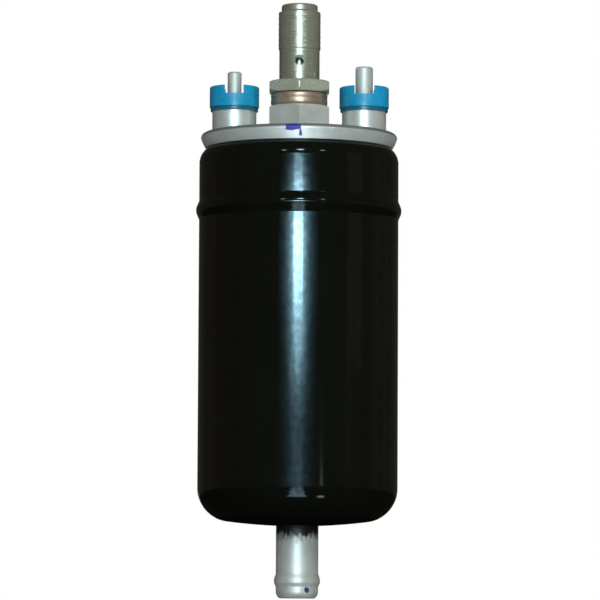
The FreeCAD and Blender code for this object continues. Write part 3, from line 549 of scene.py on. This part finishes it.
def beadRun(radius, s):
    # the stop bead: two flanks with a round crest, a soft foot below and a tight one above
    crest = (radius + s["beadRise"], s["beadMiddle"], s["beadCrest"])
    return [(radius, s["beadLow"], s["beadFootLow"]), crest, (radius, s["beadHigh"], s["beadFootHigh"])]


def makeCan(s):
    # up the outside from the hole: crown of a large ball, knuckle, bead, rolled mouth; then down the inside
    knuckleCentre = (s["radius"] - s["knuckle"], s["bandLow"])
    rise = math.sqrt((s["crown"] - s["knuckle"]) ** 2 - knuckleCentre[0] ** 2)
    crownCentre = (0.0, s["bandLow"] + rise)
    knuckleStart = -90 + math.degrees(math.asin(knuckleCentre[0] / (s["crown"] - s["knuckle"])))
    shoulder = heights("can_shell")[1] - s["mouthRoll"] * math.sin(math.radians(s["mouthTurn"]))
    rollCentre = (s["radius"] - s["mouthRoll"], shoulder)
    bore = s["radius"] - s["wall"]

    def crownRun(radius, back):
        first = -90 + math.degrees(math.asin(s["hole"] / radius))
        run = circlePoints(crownCentre, radius, first, knuckleStart, s["plainPoints"])
        return run[::-1] if back else run

    outside = crownRun(s["crown"], False)
    outside[0] = softened(outside[0], s["holeEdge"])
    outside += circlePoints(knuckleCentre, s["knuckle"], knuckleStart, 0, s["knucklePoints"])[1:]
    bead = beadRun(s["radius"], s)
    roll = circlePoints(rollCentre, s["mouthRoll"], 0, s["mouthTurn"], s["rollPoints"])
    roll[-1] = softened(roll[-1], s["mouthEdge"])
    innerRoll = circlePoints(rollCentre, s["mouthRoll"] - s["wall"], s["mouthTurn"], 0, s["plainPoints"])
    innerRoll[0] = softened(innerRoll[0], s["mouthEdge"])
    innerBead = beadRun(bore, s)[::-1]
    inside = circlePoints(knuckleCentre, s["knuckle"] - s["wall"], 0, knuckleStart, s["plainPoints"])
    inside += crownRun(s["crown"] - s["wall"], True)[1:]
    outline = turnedOutline(outside + bead + roll + innerRoll + innerBead + inside)
    return turnedSkin("canShell", outline, s["segments"])


addPiece("canShell", makeCan(canSizes), "black_enamel", "can_shell")
print("can made")


# Hose nose: turned pipe with one barb, and the collar inside the can

noseSizes = {
    "radius": 6.0, "bore": 4.75, "inset": 1.1, "taper": 1.9, "barbFoot": 3.3, "barbRise": 0.5, "ramp": 1.1,
    "land": 1.1, "back": 1.5, "collarRadius": 9.0, "collarHeight": 1.4, "lipPoints": 14,
    "segments": 160,
}


def makeNose(s):
    # from the open end up: rounded lip, tube, barb with a ramp in front and a slope behind, inner collar
    end, high = heights("inlet_pipe")
    collarLow = high - s["collarHeight"]
    barb = s["radius"] + s["barbRise"]
    foot = end + s["barbFoot"]
    top = foot + s["ramp"]
    lipStart, lipEnd = (s["radius"] - s["inset"], end), (s["radius"], end + s["taper"])
    lip = arcRun(lipStart, lipEnd, s["inset"] / 4, s["lipPoints"])
    corners = [
        (s["bore"], end, 0.06), *lip,
        (s["radius"], foot, 0.4), (barb, top, 0.35), (barb, top + s["land"], 0.5),
        (s["radius"], top + s["land"] + s["back"], 0.6),
        (s["radius"], collarLow, 0.1), (s["collarRadius"], collarLow, 0.2), (s["collarRadius"], high, 0.2),
        (s["bore"], high, 0.25),
    ]
    return turnedSkin("hoseNose", turnedOutline(corners), s["segments"])


addPiece("hoseNose", makeNose(noseSizes), "zinc_plated_steel", "inlet_pipe", noseZinc())
print("hose nose made")


# Outlet fitting: hexagon, plain shank with the cross hole, thread and blind tip

outletSizes = {
    "rootRadius": 5.4, "hexHeight": 3.4, "acrossFlats": 17.0, "shankRadius": 5.76, "shank": 9.0,
    "threadRadius": 6.0, "thread": 10.8, "leadRadius": 5.15, "lead": 2.3, "tipRound": 0.6, "pitch": 1.5,
    "threadDepth": 0.05, "valveBore": 3.6, "valveDepth": 11.85, "gallery": 2.2, "galleryEnd": 2.0,
    "holeRise": 5.6, "holeRadius": 1.3, "holeEdge": 0.3, "startRamp": 0.3, "endRamp": 0.42, "fadeIn": 1.2,
    "fadeOut": 0.9, "runOver": 0.5, "cornerSharpness": 14.0, "hexShare": 0.98, "hexRow": 0.09,
    "columns": 288, "rowsPerPitch": 16, "holeColumns": 48,
}
# heights up the fitting, from the top down
outletFoot, outletTip = heights("outlet_fitting")
threadTop = outletTip - outletSizes["lead"]
shankTop = threadTop - outletSizes["thread"]
hexHigh = shankTop - outletSizes["shank"]
hexLow = hexHigh - outletSizes["hexHeight"]
holeHeight = hexHigh + outletSizes["holeRise"]


threadShares = {"crest": 0.14, "flank": 0.66}  # of half a pitch


def threadProfile(phase):
    # depth share over one pitch: 0 on the flat crest in the middle, 1 in the root at the ends, and eased on
    # the flanks between them as 3 f^2 - 2 f^3
    flank = np.clip((np.abs(2 * phase - 1) - threadShares["crest"]) / threadShares["flank"], 0, 1)
    return flank * flank * (3 - 2 * flank)


def softMin(first, second, sharpness):
    # the smaller of two lengths, with the crease between them rounded off: -log(e^(-ks) + e^(-kt)) / k
    return -np.log(np.exp(-sharpness * first) + np.exp(-sharpness * second)) / sharpness


def hexagonRadius(turn, half, sharpness):
    # distance from the axis to the nearest flat, half / cos(angle off its middle), softly joined to the
    # next flat at each corner
    near = np.abs((turn + math.pi / 6) % (math.pi / 3) - math.pi / 6)
    return softMin(half / np.cos(near), half / np.cos(math.pi / 3 - near), sharpness)


def makeOutlet(s):
    # turned blank: root, hexagon chamfered at 30 degrees, shank, thread, blind tip, then down the gallery
    # and the valve's bore
    barrel = s["acrossFlats"] / 2
    corner = barrel / math.cos(math.pi / 6)
    drop = (corner - barrel) * math.tan(math.pi / 6)
    galleryTop = holeHeight + s["galleryEnd"]
    springStop = outletFoot + s["valveDepth"]
    corners = [
        (s["valveBore"], outletFoot, 0.1), (s["rootRadius"], outletFoot, 0.3),
        (s["rootRadius"], hexLow, 0.1), (barrel, hexLow, 0.08),
        (corner, hexLow + drop, 0.0), (corner, hexHigh - drop, 0.0),
        (barrel, hexHigh, 0.08), (s["shankRadius"], hexHigh, 0.25),
        (s["shankRadius"], shankTop, 0.05), (s["threadRadius"], shankTop + s["startRamp"], 0.05),
        (s["threadRadius"], threadTop, 0.1), (s["leadRadius"], threadTop + s["endRamp"], 0.15),
        (s["leadRadius"], outletTip, s["tipRound"]), (0.0, outletTip, 0.0), (0.0, galleryTop, 0.0),
        (s["gallery"], galleryTop, 0.05), (s["gallery"], springStop, 0.05),
        (s["valveBore"], springStop, 0.05),
    ]
    outline = dense(turnedOutline(corners), hexLow, hexHigh, s["hexRow"])
    outline = dense(outline, shankTop, threadTop, s["pitch"] / s["rowsPerPitch"])

    def shape(radius, height, turn):
        # flats where the blank is as wide as the hexagon, and a helix of thread, phase = climb / pitch -
        # turn, that fades in above the shank and out over the lead
        inHexagon = (height > hexLow - sliver) & (height < hexHigh + sliver)
        flats = hexagonRadius(turn, barrel, s["cornerSharpness"])
        flats = np.minimum(radius, softMin(radius, flats, s["cornerSharpness"]))
        radius = np.where(inHexagon & (radius > s["hexShare"] * barrel), flats, radius)
        threadEnd = threadTop + s["runOver"]
        phase = ((height - shankTop) / s["pitch"] - turn / fullTurn) % 1.0
        fadeIn = np.clip((height - shankTop) / s["fadeIn"], 0, 1)
        fadeOut = np.clip((threadEnd - height) / s["fadeOut"], 0, 1)
        cut = threadProfile(phase) * s["threadDepth"] * fadeIn * fadeOut
        onThread = (height > shankTop) & (height < threadEnd) & (radius > s["leadRadius"] - sliver)
        return np.where(onThread, np.maximum(radius - cut, s["leadRadius"]), radius)

    return turnedSkin("outletFitting", outline, s["columns"], shape=shape)


def holeCutter(s):
    # a round hole towards -Y that flares where it comes out, and stops in the gallery
    inner, outer = s["shankRadius"] - s["holeEdge"], s["shankRadius"] + s["holeEdge"]
    corners = [
        (0.0, 0.0, 0.0), (s["holeRadius"], 0.0, 0.0), (s["holeRadius"], inner, 0.0),
        (s["holeRadius"] + 2 * s["holeEdge"], outer, 0.0), (0.0, outer, 0.0),
    ]
    mesh = turnedSkin("crossHole", turnedOutline(corners), s["holeColumns"])
    points = np.zeros(len(mesh.vertices) * 3)
    mesh.vertices.foreach_get("co", points)
    points = points.reshape(-1, 3)
    turned = np.stack([points[:, 0], -points[:, 2], points[:, 1] + holeHeight * mm], -1)
    mesh.vertices.foreach_set("co", turned.ravel())
    return mesh


fitting = addPiece("outletFitting", makeOutlet(outletSizes), "passivated_steel", "outlet_fitting")
cutPiece(fitting, holeCutter(outletSizes))
print("outlet fitting made")


# Copper crush ring: folded sheet, so its rim shows the fold as a shallow groove

ringSizes = {
    "bore": 5.6, "radius": 8.1, "round": 0.85, "boreRound": 0.3, "fold": 0.22, "foldRise": 0.35,
    "foldHalf": 0.3, "wander": 0.03, "segments": 192,
}


def makeRing(s):
    low, high = heights("copper_ring")
    middle = (low + high) / 2 + s["foldRise"]
    corners = [
        (s["bore"], low, s["boreRound"]), (s["radius"], low, s["round"]),
        (s["radius"], middle - s["foldHalf"], 0.12), (s["radius"] - s["fold"], middle, 0.1),
        (s["radius"], middle + s["foldHalf"], 0.12), (s["radius"], high, s["round"]),
        (s["bore"], high, s["boreRound"]),
    ]

    def shape(radius, height, turn):  # the rim wanders three times round: r - wander (1 + sin(3 a + 1))
        return radius - s["wander"] * (1 + np.sin(3 * turn + 1)) * (radius > s["radius"] - 1)

    return turnedSkin("copperRing", turnedOutline(corners), s["segments"], shape=shape)


addPiece("copperRing", makeRing(ringSizes), "copper", "copper_ring")
print("copper ring made")


# Terminals: threaded studs and slotted caps; the plus side is on the right

terminalSizes = {
    "positive": {"x": 18.5, "thread": 2.5, "pitch": 0.8, "slot": 5.6},
    "negative": {"x": -18.5, "thread": 2.0, "pitch": 0.7, "slot": 5.3},
    "capRadius": 7.05, "skirtWall": 0.65, "skirt": 1.0, "base": 1.2, "lipRadius": 6.8, "lip": 0.95,
    "lipSlope": 0.2, "pocket": 4.95, "slotDepth": 2.45, "coreShare": 0.84, "clearance": 0.1,
    "headRadius": 3.9, "headHeight": 1.5, "chamfer": 0.4, "capEdge": 0.5, "slotEdge": 0.18,
    "threadDepth": 0.006, "rowsPerPitch": 12, "studColumns": 96, "capColumns": 128, "dullness": (0.52, 0.62),
}
capFoot, capTop = heights("terminal_cap_positive")
postTop = capFoot + terminalSizes["skirt"]
capFloor = postTop + terminalSizes["base"]
slotFloor = capTop - terminalSizes["slotDepth"]


def makeStud(pole, s):
    # head, core through the cap's floor, and a thread above the slot's floor, as a helix like the outlet's
    own = s[pole]
    low, high = heights(f"terminal_stud_{pole}")
    core = own["thread"] * s["coreShare"]
    corners = [
        (0.0, low, 0.0), (s["headRadius"], low, 0.15), (s["headRadius"], low + s["headHeight"], 0.15),
        (core, low + s["headHeight"], 0.1), (core, slotFloor, 0.0), (own["thread"], slotFloor, 0.0),
        (own["thread"], high - s["chamfer"], 0.05), (own["thread"] - s["chamfer"], high, 0.08),
        (0.0, high, 0.0),
    ]
    rowStep = own["pitch"] / s["rowsPerPitch"]
    outline = dense(turnedOutline(corners), slotFloor, high - s["chamfer"], rowStep)

    def shape(radius, height, turn):
        phase = (height / own["pitch"] - turn / fullTurn) % 1.0
        fade = np.clip((high - height) / s["chamfer"], 0, 1) * (height > slotFloor - sliver)
        return radius - threadProfile(phase) * s["threadDepth"] * fade * (radius > core + sliver)

    return turnedSkin(f"{pole}Stud", outline, s["studColumns"], own["x"], shape)


def makeCap(pole, s):
    # skirt over the post, lip, wall, open pocket, and a floor with the stud's hole
    own = s[pole]
    bore = own["thread"] * s["coreShare"] + s["clearance"]
    skirt = s["capRadius"] - s["skirtWall"]
    lipTop = capFoot + s["lip"]
    corners = [
        (skirt, capFoot, 0.15), (s["lipRadius"], capFoot, 0.15), (s["lipRadius"], lipTop, 0.05),
        (s["capRadius"], lipTop + s["lipSlope"], 0.15), (s["capRadius"], capTop, s["capEdge"]),
        (s["pocket"], capTop, 0.25), (s["pocket"], capFloor, 0.2), (bore, capFloor, 0.05),
        (bore, postTop, 0.05), (skirt, postTop, 0.1),
    ]
    return turnedSkin(f"{pole}Cap", turnedOutline(corners), s["capColumns"], own["x"])


def slotCutter(pole, s):
    # a box through the cap from front to back, from the slot's floor to well over its top
    x, half, reach = s[pole]["x"], s[pole]["slot"] / 2, 2 * s["capRadius"]
    return boxMesh("capSlot", (x - half, -reach, slotFloor), (x + half, reach, capTop + reach))


for pole in ("positive", "negative"):
    studZinc = brightZinc(f"brightZincStud_{pole}", terminalSizes[pole]["x"], terminalSizes["dullness"])
    stud, cap = makeStud(pole, terminalSizes), makeCap(pole, terminalSizes)
    addPiece(f"{pole}Stud", stud, "zinc_plated_steel", f"terminal_stud_{pole}", studZinc)
    cap = addPiece(f"{pole}Cap", cap, "blue_polyamide", f"terminal_cap_{pole}")
    cutPiece(cap, slotCutter(pole, terminalSizes), terminalSizes["slotEdge"])
print("terminals made")


# Springs: round wire with closed ends, in place of the CAD springs

springSizes = {
    "wire": 0.5, "turns": 5.5, "deadTurn": 1.0, "deadPitch": 1.05, "stepsPerTurn": 40, "aroundWire": 14,
    "springs": {
        "check_spring": {"along": 2, "held": "high", "joint": "check_valve_lift", "travel": 2.0},
        "relief_spring": {"along": 2, "held": "low", "joint": "relief_valve_lift", "travel": 1.5},
        "brush_spring_positive": {"along": 0, "held": "high", "joint": "plus_brush_slide", "travel": 2.5},
        "brush_spring_negative": {"along": 0, "held": "low", "joint": "minus_brush_slide", "travel": 2.5},
    },
}


def makeSpring(name, low, high, along, s):
    # a wire of radius w about a helix of radius R:
    # ((R + w cos a) cos t, (R + w cos a) sin t, h(t) - w sin a), where h climbs deadPitch wires in the dead
    # turn at each end and evenly between them; at both ends w is 0, which closes the wire
    first, second = (1, 2) if along == 0 else (0, 1)
    radius = (high[first] - low[first] - s["wire"]) / 2
    wire = s["wire"] / 2
    turns = np.linspace(0, s["turns"], int(s["turns"] * s["stepsPerTurn"]) + 1)
    climb = high[along] - low[along] - s["wire"]
    dead = s["deadTurn"]
    deadClimb = s["deadPitch"] * dead * s["wire"]
    knots = [0, dead, s["turns"] - dead, s["turns"]]
    height = low[along] + wire + np.interp(turns, knots, [0, deadClimb, climb - deadClimb, climb])
    angle = np.arange(s["aroundWire"]) * fullTurn / s["aroundWire"]
    turns = np.concatenate([turns[:1], turns, turns[-1:]])
    height = np.concatenate([height[:1], height, height[-1:]])
    thick = np.full(len(turns), wire)
    thick[0] = thick[-1] = 0.0
    reach = radius + thick[:, None] * np.cos(angle)
    level = height[:, None] - thick[:, None] * np.sin(angle)
    turn = fullTurn * turns[:, None]
    points = np.zeros((*reach.shape, 3))
    points[..., first] = (low[first] + high[first]) / 2 + reach * np.cos(turn)
    points[..., second] = (low[second] + high[second]) / 2 + reach * np.sin(turn)
    points[..., along] = level
    return skinMesh(name, points, False)


for node, own in springSizes["springs"].items():
    low, high = (np.array(corner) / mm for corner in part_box(node))
    along = own["along"]
    firstWord, *otherWords = node.split("_")
    name = firstWord + "".join(word.capitalize() for word in otherWords)
    mesh = makeSpring(name, low, high, along, springSizes)
    spring = addPiece(name, mesh, "spring_steel", node)
    anchor = (low + high) / 2
    anchor[along] = high[along] if own["held"] == "high" else low[along]
    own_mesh(spring)
print("springs made:", len(springSizes["springs"]))


# Studio: white surround, softbox in front, dark flags round the sides for the gloss, pale floor below;
# lengths in metres, angles in degrees, the camera's lens and sensor in mm

studio = {
    "eyeDistance": 1.15, "eyeHeight": -0.078, "aimHeight": 0.0151, "axisShift": 0.00048, "lens": 243.6,
    "roll": 0.28, "floorHeight": -0.14, "floorSize": 4.0, "surroundLight": 0.28, "flagRadius": 1.35,
    "flagGlow": 0.072, "flagGap": 10.0, "flagTop": 1.3, "flagColour": (1.25, 1.0, 0.55), "cardRadius": 1.3,
    "flagFoot": 0.004, "sheetGlow": 0.01, "curtainPoints": 97, "sensor": 36.0, "clip": (0.05, 50.0),
}
# the softbox in rows: lowest and highest edge, width and radiance
softbox = {
    "distance": 1.25, "middle": -0.009, "colour": (0.84, 1.0, 1.06),
    "rows": [
        (0.190, 0.197, 0.32, 1.5), (0.179, 0.185, 0.22, 5.0), (0.166, 0.177, 0.19, 50.0),
        (0.158, 0.166, 0.21, 38.0), (0.140, 0.158, 0.23, 60.0), (0.122, 0.140, 0.23, 46.0),
        (0.112, 0.122, 0.21, 28.0), (0.098, 0.112, 0.21, 9.0), (0.085, 0.098, 0.17, 6.0),
        (0.071, 0.085, 0.13, 10.0),
    ],
    # its soft edge: radiance by height, full across glowHalf and falling to a third every glowFade beyond
    # it; down through a waist each goes over to its low value
    "glow": [
        (-0.132, 2.4), (0.010, 2.3), (0.050, 1.2), (0.066, 4.2), (0.085, 9.5), (0.108, 13.0), (0.125, 26.0),
        (0.175, 26.0), (0.184, 3.0), (0.197, 1.0),
    ],
    "glowRadius": 1.27, "glowBearings": (-22, 22), "glowHalf": 0.13, "glowHalfLow": 0.05, "glowFade": 0.08,
    "glowFadeLow": 0.13, "halfWaist": (0.0, 0.05), "fadeWaist": (0.05, 0.075),
    "glowColour": (0.68, 1.0, 1.12),
    # its image in the table: height, and nearest and furthest edge, width and radiance of each lamp
    "floorLamp": -0.132,
    "floor": [(0.14, 0.24, 0.056, 4.2), (0.24, 0.50, 0.08, 3.4), (0.50, 1.09, 0.15, 2.8)],
}
# place, width and height, radiance and colour of the other lamps; they look at the origin, and those named
# Fill stay out of the gloss
lamps = {
    "upperBox": ((0.04, -1.13, 0.62), (0.13, 0.13), 42.0, (0.93, 0.98, 1.0)),
    "spotLeft": ((-0.36, -1.12, 0.55), (0.08, 0.08), 20.0, (1.0, 1.0, 1.0)),
    "spotRight": ((0.55, -1.04, 0.55), (0.08, 0.08), 20.0, (1.0, 1.0, 1.0)),
    "lowRight": ((0.55, -1.08, -0.02), (0.07, 0.06), 2.4, (1.0, 0.92, 0.6)),
    "floorRight": ((0.066, -0.13, -0.13), (0.018, 0.02), 9.0, (1.0, 0.8, 0.85)),
    "frontFill": ((0.28, -1.06, 0.3), (0.6, 0.6), 5.8, (0.97, 1.0, 0.99)),
    "softboxFill": ((-0.009, -1.25, 0.151), (0.42, 0.067), 27.0, (0.84, 1.0, 1.06)),
    "rightFill": ((0.72, -0.75, 0.8), (0.5, 0.5), 4.0, (1.0, 0.99, 0.95)),
}
# pale cards in front of the flags, seen only in gloss: bearings to the right, heights, glow and colour
cards = {
    "cardRight": ((57, 77), (0.08, 0.45), 0.19, (1.25, 1.0, 0.5)),
    "cardRightLow": ((56, 64), (-0.06, 0.08), 0.12, (1.25, 1.0, 0.5)),
    "cardFarRight": ((92, 106), (-0.02, 0.45), 0.094, (1.65, 1.0, 0.68)),
    "cardFarLeft": ((-118, -100), (-0.1, 0.2), 0.06, (1.74, 1.0, 0.81)),
    "cardBackRight": ((124, 169), (-0.13, 1.2), 0.047, (1.1, 1.0, 0.8)),
    "cardBackLeft": ((-169, -124), (-0.13, 1.2), 0.047, (1.1, 1.0, 0.8)),
}


def stageObject(name, mesh, material):
    # a thing of the studio, not of the pump
    thing = newObject(name, mesh)
    mesh.materials.append(material)
    return thing


def makeFloor(s):
    # matt pale card, very slightly cloudy
    half, height = s["floorSize"] / 2, s["floorHeight"]
    corners = [(-half, -half, height), (half, -half, height), (half, half, height), (-half, half, height)]
    material, tree, shader, place = newFinish("paleCard", Roughness=0.7)
    cloud = patternNoise(tree, place, 4.0, 3.0)
    pale = addNode(tree, "Mix", {0: cloud, 6: "#e9e9e8", 7: "#efefee"}, data_type="RGBA")
    feed(shader, "Base Color", pale)
    stageObject("floor", newMesh("floor", corners, [(0, 1, 2, 3)]), material)


def soleLight(tree, kind, output, colour, strength=1.0):
    # a tree with one light source alone
    tree.nodes.clear()
    light = addNode(tree, kind, {"Color": (*colour, 1.0), "Strength": strength})
    addNode(tree, output, {"Surface": light})
    return light


def glowMaterial(name, glow, colour):
    # lit cloth or card: an even glow of one radiance
    material = bpy.data.materials.new(name)
    material.use_nodes = True
    soleLight(material.node_tree, "Emission", "OutputMaterial", colour, glow)
    return material


def curtain(name, radius, bearings, edges, material, sheet=None):
    # part of a drum, (R sin b, -R cos b, height): b goes between two bearings in degrees, to the right of
    # the camera's side, and height between two edges; with a sheet, a roof closes its top and the sheet its
    # bottom
    turn = np.radians(np.linspace(*bearings, studio["curtainPoints"]))
    ring = np.stack([np.sin(turn), -np.cos(turn)], -1) * radius
    wall = np.vstack([np.c_[ring, np.full(len(ring), height)] for height in edges])
    count = len(ring)
    first = np.arange(count - 1)
    faces = np.stack([first, first + 1, first + 1 + count, first + count], -1).tolist()
    if sheet:
        faces += [list(range(count, 2 * count)), list(range(count))]
    mesh = newMesh(name, wall.tolist(), faces)
    thing = stageObject(name, mesh, material)
    if sheet:
        mesh.materials.append(sheet)
        mesh.polygons[-1].material_index = 1
    thing.visible_camera = thing.visible_diffuse = thing.visible_shadow = False


def makeFlags(s):
    # a drum of dark cloth with a gap at the back, a roof, a darker sheet below, and cards in front of it
    bearings = (s["flagGap"] - 180, 180 - s["flagGap"])
    edges = (s["floorHeight"] + s["flagFoot"], s["flagTop"])
    dark = glowMaterial("darkCloth", s["flagGlow"], s["flagColour"])
    sheet = glowMaterial("darkSheet", s["sheetGlow"], s["flagColour"])
    curtain("darkFlags", s["flagRadius"], bearings, edges, dark, sheet)
    for name, (cardBearings, cardEdges, glow, colour) in cards.items():
        curtain(name, s["cardRadius"], cardBearings, cardEdges, glowMaterial(name, glow, colour))


def addLamp(name, place, size, radiance, colour, aim=(0, 0, 0)):
    # a square-cornered area lamp: its power is radiance * pi * area
    light = bpy.data.lights.new(name, "AREA")
    light.shape = "RECTANGLE"
    light.size, light.size_y = size
    light.energy = radiance * math.pi * size[0] * size[1]
    light.color = colour
    lamp = newObject(name, light)
    lamp.location = place
    away = Vector(place) - Vector(aim)
    lamp.rotation_euler = away.to_track_quat("Z", "Y").to_euler()
    lamp.visible_camera = False
    lamp.visible_glossy = not name.endswith("Fill")


def addFloorStreak(s):
    # the softbox mirrored in the table: flat lamps on the floor, wider the further they are from the part
    for number, (near, far, width, radiance) in enumerate(s["floor"]):
        away = (near + far) / 2
        x, y, z = s["middle"] * away / s["distance"], -away, s["floorLamp"]
        size = (width, far - near)
        addLamp(f"floorStreak{number + 1}", (x, y, z), size, radiance, s["colour"], (x, y, z + 1))


def addSoftbox(s):
    # one upright lamp for each row
    for number, (low, high, width, radiance) in enumerate(s["rows"]):
        place = (s["middle"], -s["distance"], (low + high) / 2)
        addLamp(f"softbox{number + 1}", place, (width, high - low), radiance, s["colour"])


def addGlow(s):
    # a card behind the softbox's rows, seen only in gloss: its light follows a ramp in height and fades
    # sideways as exp(-distance beyond the full part / glowFade)
    low, high = s["glow"][0][0], s["glow"][-1][0]
    peak = max(radiance for height, radiance in s["glow"])
    material = glowMaterial("softboxGlow", peak, s["glowColour"])
    tree = material.node_tree
    place = addNode(tree, "TexCoord").outputs["Object"]
    axes = addNode(tree, "SeparateXYZ", [place]).outputs
    aside = farFrom(tree, axes["X"], s["middle"] / mm)
    half = addNode(tree, "MapRange", [axes["Z"], *s["halfWaist"], s["glowHalfLow"], s["glowHalf"]])
    beyond = addNode(tree, "Math", [aside, half], operation="SUBTRACT")
    beyond = addNode(tree, "Math", [beyond, 0.0], operation="MAXIMUM")
    fall = addNode(tree, "MapRange", [axes["Z"], *s["fadeWaist"], -s["glowFadeLow"], -s["glowFade"]])
    fade = addNode(tree, "Math", [beyond, fall], operation="DIVIDE")
    fade = addNode(tree, "Math", [fade], operation="EXPONENT")
    ramp = addNode(tree, "ValToRGB", [addNode(tree, "MapRange", [axes["Z"], low, high])])
    stops = ramp.color_ramp.elements
    for height, radiance in s["glow"]:
        share = radiance / peak
        position = (height - low) / (high - low)
        stop = stops[0] if position == 0 else stops[-1] if position == 1 else stops.new(position)
        stop.color = (share, share, share, 1.0)
    light = addNode(tree, "Math", [ramp.outputs["Color"], fade], operation="MULTIPLY")
    light = addNode(tree, "Math", [light, peak], operation="MULTIPLY")
    feed(tree.nodes["Emission"], "Strength", light)
    curtain("softboxGlow", s["glowRadius"], s["glowBearings"], (low, high), material)


def makeSurround(s):
    # white to the eye and in gloss, dimmer as fill light on matt surfaces
    world = bpy.data.worlds.new("whiteSurround")
    scene.world = world
    world.use_nodes = True
    tree = world.node_tree
    light = soleLight(tree, "Background", "OutputWorld", (1, 1, 1))
    path = addNode(tree, "LightPath").outputs
    seen = addNode(tree, "Math", [path["Is Camera Ray"], path["Is Glossy Ray"]], operation="MAXIMUM")
    seen = addNode(tree, "Math", [seen, path["Is Transmission Ray"]], operation="MAXIMUM")
    feed(light, "Strength", addNode(tree, "MapRange", [seen, 0, 1, s["surroundLight"], 1.0]))


def makeCamera(s):
    # low in front of the pump, looking slightly up, with the photo's small roll
    lens = bpy.data.cameras.new("camera")
    lens.sensor_width, lens.lens = s["sensor"], s["lens"]
    lens.clip_start, lens.clip_end = s["clip"]
    camera = newObject("camera", lens)
    camera.location = (s["axisShift"], -s["eyeDistance"], s["eyeHeight"])
    tilt = math.atan2(s["aimHeight"] - s["eyeHeight"], s["eyeDistance"])
    camera.rotation_euler = (math.radians(90) + tilt, 0, 0)
    camera.rotation_euler.rotate_axis("Z", math.radians(s["roll"]))
    scene.camera = camera


makeFloor(studio)
makeFlags(studio)
addSoftbox(softbox)
addGlow(softbox)
addFloorStreak(softbox)
for lampName, lampValues in lamps.items():
    addLamp(lampName, *lampValues)
makeSurround(studio)
makeCamera(studio)
scene.view_settings.view_transform = "Standard"
print("studio made")
